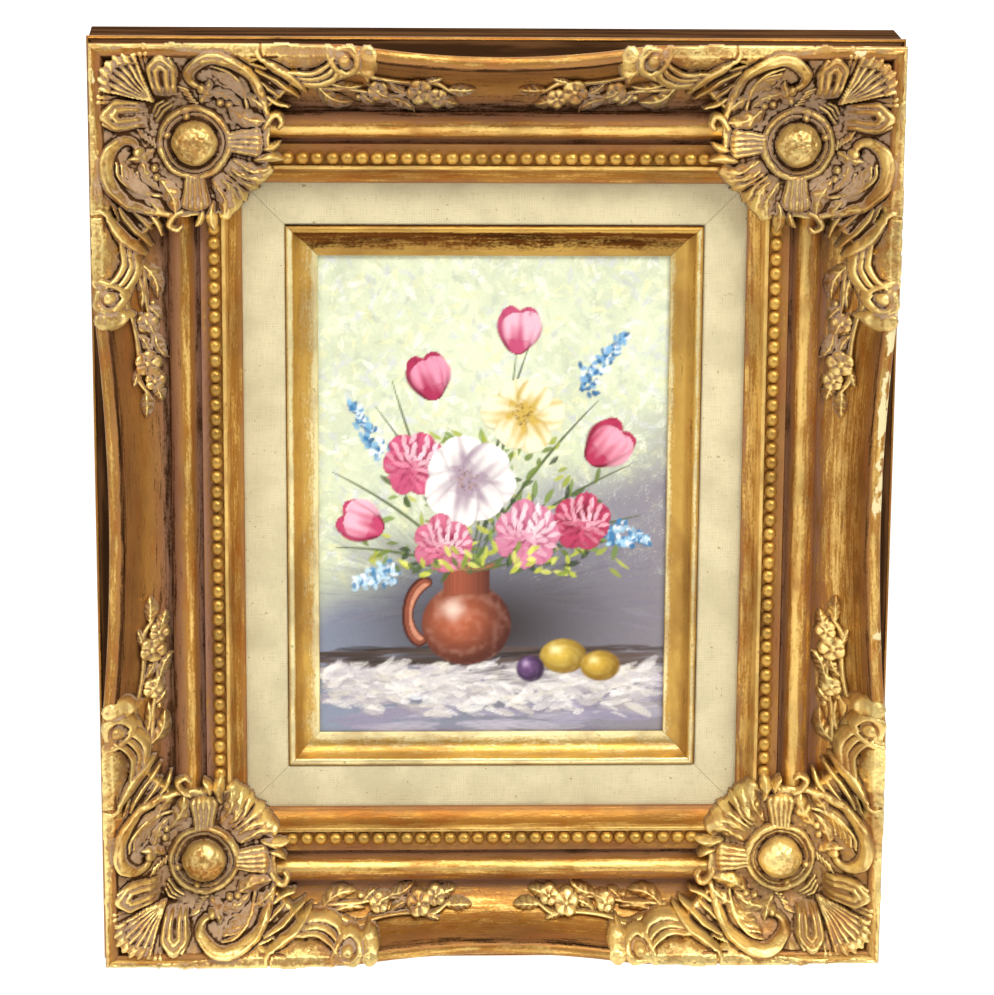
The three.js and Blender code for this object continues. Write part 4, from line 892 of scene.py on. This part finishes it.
class Relief:
    """A patch of relief on a grid: every form is laid over what is there, and the highest shows."""

    def __init__(self, left, up, bed):
        self.left, self.up, self.bed = left, up, bed
        self.top = np.full(left.shape, -1e3)
        self.polish = np.zeros(left.shape)

    def lay(self, height, inside, where=slice(None)):
        """Raises what is inside a form to its height, where that is higher than what is there."""
        self.top[where] = np.where(inside, np.maximum(self.top[where], height), self.top[where])

    def window(self, points, reach):
        """The part of the patch that is within reach of some points."""
        points = np.atleast_2d(points)
        low, high = points[:, :2].min(0) - reach, points[:, :2].max(0) + reach
        mask = (self.left > low[0]) & (self.left < high[0]) & (self.up > low[1]) & (self.up < high[1])
        rows, columns = np.nonzero(mask)
        return np.s_[rows.min():rows.max() + 1, columns.min():columns.max() + 1]

    def follow(self, route, reach):
        """The part near a route, with each place's distance from it, share along it and half width."""
        where = self.window(route, reach)
        side, along = beside(self.left[where], self.up[where], route)
        half = np.interp(along, np.linspace(0, 1, len(route)), np.maximum(route[:, 2], 0.05))
        return where, side, along, half

    def ridge(self, points, ribs=0, rib_depth=0.0, power=1.0):
        """A raised band along points of (left, up, half width, rise). Ribs run along its length."""
        route = smooth_route(points)
        where, side, along, half = self.follow(route, route[:, 2].max() + 1)
        lift = np.interp(along, np.linspace(0, 1, len(route)), route[:, 3])
        off = np.abs(side) / half
        shape = (1 - np.clip(off, 0, 1) ** 2.6) ** power
        if ribs:
            shape = shape - rib_depth * (0.5 - 0.5 * np.cos(2 * math.pi * ribs * (side / half + 1) / 2))
        self.lay(self.bed[where] + lift * shape, off < 1, where)

    def leaf(self, start, end, half, rise, bend, veins):
        """A pointed leaf with a sharp middle vein and slanting side veins."""
        start, end = np.array(start, float), np.array(end, float)
        run = end - start
        length = float(np.hypot(*run))
        normal = np.array([-run[1], run[0]]) / length
        t = np.linspace(0, 1, 9)
        route = start + run * t[:, None] + normal * (bend * length * np.sin(math.pi * t))[:, None]
        spread = half * np.sin(math.pi * np.clip(t * 0.9 + 0.1, 0, 1)) ** 0.75
        route = smooth_route(np.column_stack([route, spread, np.ones(9)]), 24)
        where, side, along, wide = self.follow(route, half + 1)
        off = np.abs(side) / wide
        blade = 0.7 * (1 - np.clip(off, 0, 1) ** 2.4) + 0.3 * (1 - off)
        blade = blade + 0.16 * np.exp(-(side / 0.4) ** 2)
        blade = blade + 0.09 * np.cos(2 * math.pi * (along * veins - 0.5 * off)) * (off > 0.12)
        arched = np.sin(math.pi * (0.12 + 0.84 * along)) ** 0.5
        self.lay(self.bed[where] + rise * blade * arched, off < 1, where)

    def knob(self, left, up, radius, rise, base=0.0):
        """A round bead on its own base height."""
        where = self.window((left, up), radius)
        r = np.hypot(self.left[where] - left, self.up[where] - up) / radius
        self.lay(self.bed[where] + base + rise * dome(r), r < 1, where)


def inside_outline(left, up, outline):
    """True for each place inside a closed outline."""
    inside = np.zeros(left.shape, bool)
    for (x0, y0), (x1, y1) in zip(outline, outline[1:] + outline[:1]):
        crosses = (y0 > up) != (y1 > up)
        slope = (x1 - x0) * (up - y0) / ((y1 - y0) or 1e-9) + x0
        inside ^= crosses & (left < slope)
    return inside


def blurred(values, reach):
    """A grid of values, smoothed over a reach in steps."""
    kernel = np.hanning(2 * reach + 3)[1:-1]
    kernel /= kernel.sum()
    values = np.pad(values, reach, mode="edge")
    for axis in (0, 1):
        values = np.apply_along_axis(lambda line: np.convolve(line, kernel, "valid"), axis, values)
    return values


# Height of the composition between the forms, by distance out, and the places of boss and shell.
BED_LINE = ([-14, -7, -3, 0, 3.5, 7, 13, 19.5, 24, 29, 35, 40, 44, 48.5],
            [18.6, 19.2, 21.5, 25, 28.6, 29.6, 31.6, 32.6, 32.2, 33.2, 38.4, 44.6, 49.4, 51.2])
BOSS, SHELL = 14.5, 27.4
BOSS_DOME, BOSS_RING, BOSS_RIM, BOSS_FLOOR = 7.4, 9.4, 11.2, 12.4
SHELL_SPREAD, SHELL_RADIUS, SHELL_FLUTES, SHELL_TOP = 0.46, 20.4, 3.0, 53.0
CASTING_OUT, CASTING_TOP = 47.6, 51.0


def half_casting(relief):
    """The forms on one side of the casting's diagonal: the arm that runs along the top rail."""
    left, up = relief.left, relief.up
    # Fluted tab beside the boss: a small fan that opens away from it.
    x, y = 2.4 - left, up - BOSS
    wide = 3.4 + 0.2 * np.clip(x, 0, 8)
    end = 10.6 - 0.05 * y * y
    flutes = 0.5 + 0.5 * np.cos(2 * math.pi * 2.5 * y / wide)
    crown = dome(np.clip(y / wide, -1, 1)) ** 0.4 * np.clip((end - x) / 1.6, 0, 1) ** 0.5
    relief.lay(relief.bed + 0.4 + crown * (2.4 + 0.8 * flutes), (np.abs(y) < wide) & (x > -1) & (x < end))
    # Hooded lobe beside the shell: ridges in the shape of a U, open towards the boss.
    x, y = left - 24.0, up - 37.8
    arch = np.where(y > 0, np.hypot(x, y * 0.86), np.abs(x) * (1 - 0.03 * y))
    scallop = 0.35 * np.cos(5 * np.arctan2(x, np.maximum(y, 0.01)))
    fold = np.clip((arch - 0.2) / (4.9 + scallop), 0, 1)
    hood = 1.2 + 2.6 * np.sin(math.pi * np.clip(0.15 + 0.85 * fold, 0, 1)) ** 0.5
    hood = hood + 0.75 * np.cos(2 * math.pi * 2 * fold - 3.6)
    relief.lay(relief.bed + 0.8 + hood * np.clip((y + 8.2) / 3, 0, 1), (fold < 1) & (y > -8.2))
    relief.ridge([(20.6, 34.0, 0.7, 2.4), (19.4, 38.6, 1.0, 3.4), (21.2, 42.6, 1.0, 3.0)])
    # C-scroll: a broad rolled band that ends in an eye.
    band = [(11.4, 32.4, 1.0, 2.4), (14.6, 34.2, 1.6, 3.4), (15.4, 37.6, 2.0, 4.0),
            (12.6, 41.0, 2.3, 4.6), (8.0, 42.7, 2.5, 5.0), (2.8, 41.8, 2.5, 5.0), (-2.2, 39.0, 2.3, 4.8),
            (-5.6, 35.2, 2.1, 4.4), (-7.8, 29.6, 1.8, 3.4), (-9.2, 24.4, 1.2, 2.2),
            (-9.6, 20.6, 0.7, 1.2)]
    relief.ridge(band, power=0.8)
    rolled = [(a + 0.5, b + 0.9, c * 0.42, d * 1.16) for a, b, c, d in band[2:9]]
    relief.ridge(rolled)
    relief.knob(11.6, 32.2, 1.8, 3.6, 0.8)
    # Feathered strokes on a swelling in the scroll's hollow.
    relief.ridge([(7.0, 37.6, 1.6, 1.4), (3.4, 36.0, 3.2, 2.4), (-0.4, 32.8, 3.6, 2.6),
                  (-3.0, 28.6, 2.4, 1.6), (-4.0, 25.4, 1.0, 0.8)])
    for k in range(5):
        a = 1.75 * k
        relief.ridge([(8.2 - 0.5 * a, 39.6 - 0.95 * a, 0.5, 1.8),
                      (4.2 - 0.62 * a, 38.8 - 1.0 * a, 0.9, 3.5 - 0.2 * k),
                      (0.6 - 0.4 * a, 35.8 - 0.9 * a, 0.95, 3.6 - 0.2 * k),
                      (-2.2 - 0.1 * a, 31.6 - 0.75 * a, 0.8, 2.8),
                      (-3.6 + 0.1 * a, 28.2 - 0.5 * a, 0.5, 1.4)])
    for foot, tip, half, rise, bend in (
        ((8.6, 31.4), (-1.6, 25.6), 3.0, 2.6, -0.1), ((2.4, 25.6), (-9.6, 21.4), 3.6, 3.4, 0.1),
        ((-1.6, 29.8), (-9.4, 24.8), 2.8, 3.2, -0.1), ((12.0, 28.2), (9.0, 35.6), 2.4, 2.8, 0.1),
    ):
        relief.leaf(foot, tip, half, rise, bend, 3)
    # Pearls between the boss and the scroll, a bead on the ring and a comb of short strokes.
    for x, y, radius in ((6.0, 27.9, 1.35), (3.2, 27.1, 1.25), (4.4, 29.6, 1.0)):
        relief.knob(x, y, radius, 2.4, 0.8)
    relief.knob(17.0, 23.4, 1.3, 2.6, 1.0)
    for k in range(6):
        relief.ridge([(19.4 - 0.9 * k, 33.0 - 1.3 * k, 0.55, 1.5),
                      (16.4 - 0.75 * k, 31.4 - 1.05 * k, 0.6, 1.8)])
    # Knot of small bars between the boss and the shell.
    for k in range(3):
        relief.ridge([(21.8 + 1.5 * k, 26.6 + 0.6 * k, 0.6, 1.9),
                      (24.6 + 1.1 * k, 24.6 + 1.1 * k, 0.75, 2.4)])
    # Plain wing that fills the face between the shell and the lobe.
    for k in range(3):
        a = math.radians(86 - 6.5 * k)
        foot = (27.6 + 2.0 * math.cos(a), 27.8 + 2.0 * math.sin(a))
        tip = (27.6 + 16.8 * math.cos(a), 27.8 + 16.8 * math.sin(a))
        relief.ridge([(*foot, 0.4, 1.4), ((foot[0] + tip[0]) / 2, (foot[1] + tip[1]) / 2, 0.8, 1.8),
                      (*tip, 1.1, 1.5)])
    # Spears that break away from the scroll towards the spray.
    relief.ridge([(-6.4, 38.6, 0.8, 3.6), (-11.4, 36.0, 1.3, 4.6), (-15.6, 32.8, 1.2, 4.0),
                  (-19.6, 29.2, 0.5, 1.4)], ribs=2, rib_depth=0.2)
    relief.ridge([(-9.6, 42.0, 1.2, 3.6), (-13.2, 39.6, 2.2, 5.0), (-17.2, 36.6, 2.3, 5.6),
                  (-20.2, 33.4, 1.6, 4.2), (-22.2, 31.2, 0.6, 1.6)], ribs=2, rib_depth=0.12)
    relief.ridge([(-7.6, 34.4, 0.8, 2.8), (-10.8, 32.0, 1.2, 3.2), (-13.8, 29.6, 0.6, 1.6)],
                 ribs=2, rib_depth=0.3)
    relief.ridge([(-9.6, 29.4, 0.8, 2.4), (-12.6, 27.4, 1.0, 2.6), (-16.4, 26.2, 0.5, 1.2)])
    # Leaf ends on the torus and on the bead course.
    relief.ridge([(-8.6, 19.4, 1.0, 2.0), (-10.6, 22.6, 1.3, 2.8), (-13.2, 23.4, 1.2, 2.8),
                  (-14.6, 21.0, 1.0, 2.0), (-13.4, 19.2, 0.6, 1.2)])
    relief.leaf((-5.4, 8.6), (-15.6, 8.4), 1.9, 3.4, -0.08, 3)
    relief.leaf((-8.4, 12.2), (-13.4, 14.6), 1.5, 2.4, 0.1, 2)
    # Ruffled acanthus over the corner of the linen.
    relief.ridge([(-9.4, 5.0, 2.2, 1.4), (-4.6, 2.6, 3.4, 2.4), (1.6, 5.6, 4.0, 2.6),
                  (6.0, 6.4, 3.0, 1.6)])
    for tip, foot, half, rise, bend in (
        ((-10.4, 5.6), (1.6, 8.6), 2.8, 3.0, 0.16), ((-9.0, 1.6), (2.6, 6.4), 2.9, 3.5, 0.12),
        ((-6.2, -1.6), (3.8, 4.8), 2.8, 3.6, 0.08), ((-4.4, 1.4), (2.2, 5.6), 1.6, 4.3, 0.1),
        ((-6.8, 4.4), (-0.6, 7.4), 1.5, 4.0, 0.1),
    ):
        relief.leaf(foot, tip, half, rise, bend, 3)
    # Stippled lip panels with a curled divider between them, and ribs under the outer one.
    inner = np.interp(left, [-30, -27, -23, -17, -12, -8, -4, 4, 12, 18, 26],
                      [41.2, 39.4, 38.4, 39.4, 42.4, 42.6, 41.0, 43.6, 43.4, 45.0, 45.6])
    panel_top, panel_end, divider_at = 47.5, -29.4, -8.2
    panel = (up > inner) & (up < panel_top) & (left > panel_end) & (left < 30)
    panel = panel & (np.abs(left - divider_at) > 0.5)
    stipple = 0.55 * cloudy(31, 2.6, left.shape) + 0.4 * cloudy(32, 1.6, left.shape)
    smooth_patch = np.exp(-((left + 20) / 5) ** 2 - ((up - 42.5) / 2.6) ** 2)
    swell = np.sqrt(np.clip((up - inner) / 3.0, 0, 1)) * np.clip((47.6 - up) / 0.8, 0, 1) ** 0.5
    lip_top = np.maximum(relief.bed, 44.0 + 0.9 * np.clip(up - 40, 0, 7))
    relief.lay(lip_top + 0.5 + swell * (0.7 + stipple * (1 - 0.8 * smooth_patch) + 0.9 * smooth_patch),
               panel)
    relief.polish[panel & (left < 1)] = 0.5
    relief.ridge([(-7.4, 47.0, 0.7, 1.4), (-7.0, 44.6, 0.9, 3.0), (-8.2, 42.4, 1.0, 4.0),
                  (-9.8, 42.2, 0.8, 4.0)])
    for drop, rise in ((0.0, 4.8), (1.9, 4.2), (3.7, 3.4)):
        relief.ridge([(-15.0 - drop, 38.8 - drop, 0.7, rise * 0.7),
                      (-19.4 - drop, 37.6 - drop, 1.3, rise),
                      (-24.6 - drop, 37.4 - 0.9 * drop, 1.4, rise),
                      (-29.0 - 0.9 * drop, 39.4 - 0.8 * drop, 1.2, rise),
                      (-31.8 - 0.4 * drop, 43.0 - 0.9 * drop, 0.8, rise * 0.7)])
    # End scroll with its eye, and the smooth cap beyond it.
    relief.ridge([(-30.0, 45.6, 2.2, 1.4), (-34.4, 42.0, 3.6, 2.6), (-37.6, 40.6, 3.0, 2.4)])
    relief.ridge([(-29.4, 46.8, 1.0, 1.8), (-30.4, 43.2, 1.5, 3.4), (-32.0, 39.8, 1.5, 4.2),
                  (-34.4, 37.8, 1.0, 3.4)])
    relief.ridge([(-33.4, 45.8, 1.1, 2.2), (-37.0, 46.0, 1.5, 2.8), (-39.6, 43.2, 1.7, 3.8),
                  (-39.2, 39.8, 1.6, 4.2), (-36.4, 37.8, 1.3, 3.9), (-34.4, 38.8, 0.9, 3.2)])
    relief.knob(-35.4, 42.0, 2.2, 3.8, 1.2)
    r = np.hypot((left + 43.0) / 3.6, (up - 41.8) / 5.2)
    relief.lay(np.maximum(relief.bed, 43.0) + 0.4 + 3.4 * dome(np.clip(r, 0, 1)), r < 1)
    relief.polish[r < 1] = -0.6
    relief.ridge([(-42.0, 37.8, 1.2, 3.0), (-42.6, 35.2, 0.5, 1.6)])


def casting_relief():
    """Height of the casting over the whole patch, and where it covers the moulding."""
    left, up = np.meshgrid(relief_line, relief_line)
    bed = np.interp(np.maximum(left, up), *BED_LINE)
    waver = [0.7 * (cloudy(seed, 22, left.shape) - 0.5) + 0.5 * (cloudy(seed + 1, 9, left.shape) - 0.5)
             for seed in (41, 43)]
    relief = Relief(left + waver[0], up + waver[1], bed)
    rim = [(-3.0, -3.0), (-7.5, 1.0), (-9.5, 8.0), (-10.0, 14.5), (-10.6, 20.6), (-10.0, 26.0),
           (-14.0, 29.6), (-18, 33), (-14, 38), (-6, 41), (2, 43.5), (10, 45), (20, 47.4), (47.4, 47.4)]
    outline = rim + [(y, x) for x, y in reversed(rim[1:-1])]
    grain = cloudy(11, 3.2, left.shape) * 0.4 + cloudy(12, 9, left.shape) * 0.5
    relief.lay(bed + grain, inside_outline(left, up, outline))
    # Hammered boss with a thin ring and a thick one round it.
    r = np.hypot(relief.left - BOSS, relief.up - BOSS)
    relief.lay(33.0 + 0.5 * grain, r < BOSS_FLOOR)
    hammered = sum(share * cloudy(seed, size, left.shape)
                   for share, seed, size in ((0.5, 23, 2.4), (0.35, 24, 3.7), (0.15, 25, 1.5)))
    relief.polish[r < BOSS_DOME] = 1
    relief.lay(33.8 + 6.8 * dome(r / BOSS_DOME) ** 0.9 + 0.9 * hammered * np.clip(8 - r, 0, 1),
               r < BOSS_DOME)
    relief.lay(33.2 + 0.8 * dome((r - BOSS_RING) / 0.6), np.abs(r - BOSS_RING) < 0.6)
    relief.lay(32.9 + 2.0 * dome((r - BOSS_RIM) / 1.1) + 0.3 * grain, np.abs(r - BOSS_RIM) < 1.1)
    # Shell: thin flutes that spread from a point beyond the boss and end in a curled, scalloped rim.
    x, y = relief.left - SHELL, relief.up - SHELL
    angle, reach = np.arctan2(y, x) - math.pi / 4, np.hypot(y, x)
    flute = angle / SHELL_SPREAD * SHELL_FLUTES
    crown = 0.5 + 0.5 * np.cos(2 * math.pi * flute)
    rim_at = SHELL_RADIUS - 0.9 * (1 - crown) - 2.6 * (angle / SHELL_SPREAD) ** 2
    slope = np.interp(reach, [0, 6, 12, 18, 21], [38.2, 41.2, 45.6, 49.4, 50.4])
    ribs = slope + 0.7 + 1.0 * crown ** 1.2 * np.clip(reach / 6, 0.3, 1)
    curl = dome(np.clip((reach - rim_at + 2.0) / 2.0, -1, 1)) * (1.1 + 0.7 * crown)
    shell = (np.abs(angle) < SHELL_SPREAD + 0.03) & (reach < rim_at) & (reach > 0.5)
    shell = shell & (np.maximum(left, up) < CASTING_OUT)
    relief.lay(np.minimum(ribs + curl * (reach > rim_at - 3.4), SHELL_TOP), shell)
    for arm in (Relief(relief.left, relief.up, bed), Relief(relief.up, relief.left, bed)):
        arm.top, arm.polish = relief.top, relief.polish
        half_casting(arm)
    # The mould was worn: low lumps all over but on the boss, and nothing stands much above the lip.
    lumps = 0.5 * (cloudy(61, 6, left.shape) - 0.5) + 0.35 * (cloudy(62, 2.6, left.shape) - 0.5)
    relief.top += np.where(relief.top > 0, lumps * (1 - relief.polish), 0)
    over = relief.top - CASTING_TOP
    relief.top = np.where(over > 0, CASTING_TOP + 0.5 * over, relief.top)
    relief.left, relief.up = left, up
    return relief


# Each corner: which way is outwards to the right and upwards there, and how dusty its castings are.
CORNERS = {
    "top_left": (-1, 1, 1.0), "top_right": (1, 1, 0.86),
    "bottom_left": (-1, -1, 0.84), "bottom_right": (1, -1, 0.4),
}


def planted(name, relief, footing, corner, node, upright=False):
    """A corner's piece of a patch of relief: a grid over its tops, with walls down to its footing."""
    right, high, dusty = CORNERS[corner]
    covered = relief.top > 0
    around = np.pad(covered, 1)
    rows, columns = covered.shape
    steps = (-1, 0, 1)
    kept = sum(around[1 + i:rows + 1 + i, 1 + j:columns + 1 + j] for i in steps for j in steps) > 0
    height = np.where(covered, np.maximum(relief.top, footing), footing)
    proud = sum((height - blurred(height, reach)) / fall for reach, fall in ((6, 1.9), (2, 0.8), (22, 7)))
    proud = np.clip(proud - 0.08, -1.2, 1.2)
    clouds = cloudy(int(dusty * 100), 26, covered.shape)
    spots = cloudy(int(dusty * 90), 4.5, covered.shape)
    crest = 1.15 * proud + (1.1 * spots - 0.35) * np.maximum(relief.polish, 0) + 0.7 * (1 - dusty)
    crest = np.where(proud > 0.1, crest - (0.8 * (clouds - 0.4) + 0.7 * (spots - 0.5)), crest)
    dust = dusty * (0.55 + 0.9 * clouds) * (1 - 0.85 * relief.polish)
    shape = bmesh.new()
    tint = shape.verts.layers.float.new("Relief")
    wash = shape.verts.layers.float.new("Wash")
    bmesh.ops.create_grid(shape, x_segments=columns - 1, y_segments=rows - 1, size=0.5)
    spare = []
    for vert in shape.verts:
        i, j = round((vert.co.y + 0.5) * (rows - 1)), round((vert.co.x + 0.5) * (columns - 1))
        if not kept[i, j]:
            spare.append(vert)
        vert[tint], vert[wash] = crest[i, j], dust[i, j]
        left, up = relief.left[i, j], relief.up[i, j]
        if upright:
            left, up = up, left
        x = right * (SIGHT_WIDTH / 2 + MOULDING_SIGHT + left)
        z = PICTURE_Z + high * (SIGHT_HEIGHT / 2 + MOULDING_SIGHT + up)
        vert.co = (x * MM, -(WALL_GAP + height[i, j]) * MM, z * MM)
    bmesh.ops.delete(shape, geom=spare, context="VERTS")
    shape.normal_update()
    if sum(face.normal.y for face in shape.faces) > 0:
        bmesh.ops.reverse_faces(shape, faces=shape.faces[:])
    return new_piece(name, shape, "ornament", node, casting_gilt)


casting_gilt = gilt_material("casting_leaf", "BA8E4C", "FFE292", "543820", "AE9276",
                             {"Wear": 0.02, "Amber": 0.5}, ["Relief", "Wash"], bump=0.9)
casting = casting_relief()
casting_footing = ground(casting.left, casting.up) - 0.6
for corner in CORNERS:
    planted(f"casting_{corner}", casting, casting_footing, corner, f"corner_ornament_{corner}")

# Flower sprays.
# Eight small castings of leaves, berries and three rosettes on two waving stems, planted in the scoop
# beside the corner castings and gilded over with them.

SPRAY_STEP, SPRAY_SHIFT, SPRAY_SINK = 0.34, 1.5, 0.5
spray_along = np.arange(-84.0, -17.0, SPRAY_STEP)
spray_out = np.arange(23.0, 41.0, SPRAY_STEP)


def rosette(relief, left, up, radius, rise):
    """A five-petalled flower with a raised heart."""
    x, y = relief.left - left, relief.up - up
    r, a = np.hypot(x, y), np.arctan2(y, x)
    petal = np.abs(np.cos(2.5 * a + 0.4))
    edge = radius * (0.84 + 0.16 * petal ** 0.6)
    cup = dome(np.clip(r / edge, 0, 1)) ** 0.6 * (0.62 + 0.38 * petal ** 0.4) + 0.3 * (r / edge) ** 2
    relief.lay(relief.bed + rise * cup, r < edge)
    relief.knob(left, up, radius * 0.3, rise * 0.6, rise * 0.62)


def spray_relief(side):
    """Leaves and flowers over the swept scoop of one side, drawn for the arm that runs along it."""
    left, up = np.meshgrid(spray_along, spray_out)
    half = half_run(side)
    out = up + MOULDING_SIGHT
    sweep = drawn_in(side, (half + MOULDING_SIGHT + left) / (half + out))
    # The place that the lip's curve moved here is found by a few rounds of trial.
    unswept = out
    for _ in range(4):
        unswept = out + sweep * np.clip((unswept - TORUS_OUT) / SCOOP_WIDTH, 0, 1)
    relief = Relief(left, up - SPRAY_SHIFT, ground(unswept - MOULDING_SIGHT, np.zeros_like(out)))
    relief.ridge([(-25.4, 31.4, 1.4, 2.4), (-32.0, 34.0, 1.3, 2.8), (-38.6, 36.2, 1.1, 2.8),
                  (-44.0, 34.6, 1.0, 2.4), (-50.0, 33.4, 1.0, 2.2), (-56.0, 32.8, 1.0, 2.2),
                  (-60.6, 32.8, 1.1, 2.8), (-65.4, 32.6, 1.0, 2.6), (-69.4, 30.2, 0.9, 2.4),
                  (-71.6, 29.6, 0.7, 2.0)])
    relief.ridge([(-27.0, 30.6, 1.2, 2.4), (-33.0, 30.4, 1.0, 2.4), (-39.4, 30.0, 0.9, 2.4),
                  (-45.0, 29.0, 0.8, 2.2), (-52.0, 28.4, 0.8, 2.0), (-60.0, 28.8, 0.7, 2.0)])
    for start, end, half_width, rise, bend in (
        ((-26.4, 31.2), (-38.4, 26.4), 2.5, 3.4, 0.16), ((-29.4, 32.8), (-41.4, 31.8), 1.7, 2.6, 0.1),
        ((-43.6, 31.8), (-51.2, 27.6), 2.6, 3.2, 0.12), ((-40.6, 29.8), (-45.4, 25.4), 1.6, 2.6, 0.1),
        ((-49.8, 27.4), (-58.4, 22.8), 2.2, 2.8, -0.12), ((-50.4, 32.2), (-57.6, 29.0), 1.7, 2.6, 0.1),
        ((-66.4, 28.6), (-73.2, 25.4), 2.1, 2.8, 0.1), ((-69.6, 30.6), (-78.6, 30.6), 1.9, 2.8, 0.05),
        ((-61.6, 33.4), (-67.4, 34.6), 1.3, 2.4, 0.1), ((-34.6, 35.6), (-40.6, 38.0), 1.4, 2.2, -0.1),
    ):
        relief.leaf(start, end, half_width * 1.2, rise, bend, 4)
    for along, out_at, radius, rise in (
        (-59.8, 29.6, 4.5, 3.8), (-65.8, 27.4, 3.6, 3.4), (-46.0, 29.8, 3.6, 3.2),
    ):
        rosette(relief, along, out_at, radius, rise)
    for along, out_at, radius in ((-39.6, 27.8, 1.3), (-43.4, 26.6, 1.3), (-41.4, 28.6, 1.1),
                                  (-54.0, 30.6, 1.2)):
        relief.knob(along, out_at, radius, 2.4)
    relief.up = up
    return relief


for side in SIDES:
    relief = spray_relief(side)
    for corner in CORNERS:
        if side in corner.split("_"):
            planted(f"spray_{corner}_{side}", relief, relief.bed - SPRAY_SINK, corner,
                    f"flower_spray_{corner}_{side}", SIDES[side][0])

# Backing board and fixings.
# A grey-brown card closes the back and is held by flat steel points pressed into the rabbet. A toothed
# hanger of thin zinc-plated steel is nailed to the middle of the top rail.

card, tree, shader = new_material("backing_card")
spot = add(tree, "TexCoord", {}, "Object")
layers = add(tree, "Mapping", {"Vector": spot, "Scale": (260.0, 260.0, 1400.0)}, "Vector")
pulp = noise(tree, layers, 1.0, 4.0)
mottle = add(tree, "Math", {0: pulp, 1: noise(tree, spot, 22.0, 5.0)}, "Value", operation="ADD")
give(tree, shader, {
    "Base Color": two_tone(tree, mottle, 0.7, 1.0, "7A664B", "98846A"), "Roughness": 0.9,
    "Normal": bumped(tree, pulp, 0.3),
})
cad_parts["backing_board"].material_slots[0].material = card

zinc, tree, shader = new_material("dull_zinc")
spot = add(tree, "TexCoord", {}, "Object")
spangle = add(tree, "TexVoronoi", {"Vector": spot, "Scale": 420.0}, "Distance")
give(tree, shader, {
    "Base Color": two_tone(tree, noise(tree, spot, 180.0, 5.0), 0.36, 0.66, "6F6C66", "B4B3AE"),
    "Roughness": remap(tree, spangle, (0, 1), (0.36, 0.55)), "Metallic": 0.85,
})
for name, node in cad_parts.items():
    if name.startswith(("hanger", "steel_point")):
        node.material_slots[0].material = zinc

# Floor, lights and camera.
# A plain pale floor under soft light from the upper right, and the camera where the photograph was
# taken, a little above the frame's middle. Places and sizes here are in metres.

FLOOR_SIZE, FLOOR_Z = 200, -0.46
bpy.ops.mesh.primitive_plane_add(size=FLOOR_SIZE, location=(0, 0, FLOOR_Z))
floor = bpy.context.object
floor.name = "floor"
pale, tree, shader = new_material("pale_floor")
give(tree, shader, {"Base Color": (0.93, 0.93, 0.93, 1), "Roughness": 0.9})
floor.data.materials.append(pale)

world = bpy.data.worlds.new("studio")
bpy.context.scene.world = world
world.use_nodes = True
give(world.node_tree, world.node_tree.nodes["Background"], {"Color": (1, 1, 1, 1), "Strength": 0.3})
bpy.context.scene.view_settings.view_transform = "Standard"


def softbox(name, place, aim, size, watts, tint=(1, 1, 1)):
    """A square soft light at a place, turned to a point."""
    lamp = bpy.data.lights.new(name, "AREA")
    lamp.shape, lamp.size, lamp.energy, lamp.color = "SQUARE", size, watts, tint
    holder = bpy.data.objects.new(name, lamp)
    holder.location = place
    holder.rotation_euler = (Vector(place) - Vector(aim)).to_track_quat("Z", "Y").to_euler()
    bpy.context.scene.collection.objects.link(holder)


frame_middle = (0, 0, -0.13)
softbox("key", (0.75, -1.0, 0.9), frame_middle, 0.6, 16, (1, 0.98, 0.94))
softbox("overhead", (-0.1, -0.75, 1.15), frame_middle, 0.9, 11)
softbox("left_fill", (-1.2, -0.9, 0.4), frame_middle, 0.9, 6)
softbox("backdrop", (0, 12, 4), (0, 12, 0), 23, 2200)

# The view was fitted to the photograph, so its focal length is in pixels of that picture's width.
SENSOR, FOCAL_PIXELS, PHOTO_WIDTH = 36, 3000, 994
YAW, PITCH, ROLL = -0.03545, -0.19571, -0.00615
view = bpy.data.cameras.new("camera")
view.sensor_width, view.lens = SENSOR, FOCAL_PIXELS / PHOTO_WIDTH * SENSOR
view.clip_start, view.clip_end = 0.05, 60
camera = bpy.data.objects.new("camera", view)
bpy.context.scene.collection.objects.link(camera)
bpy.context.scene.camera = camera
turned = (Matrix.Rotation(YAW, 4, "Z") @ Matrix.Rotation(PITCH, 4, "X")
          @ Matrix.Rotation(ROLL, 4, "Y") @ Matrix.Rotation(math.pi / 2, 4, "X"))
camera.matrix_world = Matrix.Translation((-0.034778, -1.034774, (202.205 + PICTURE_Z) * MM)) @ turned
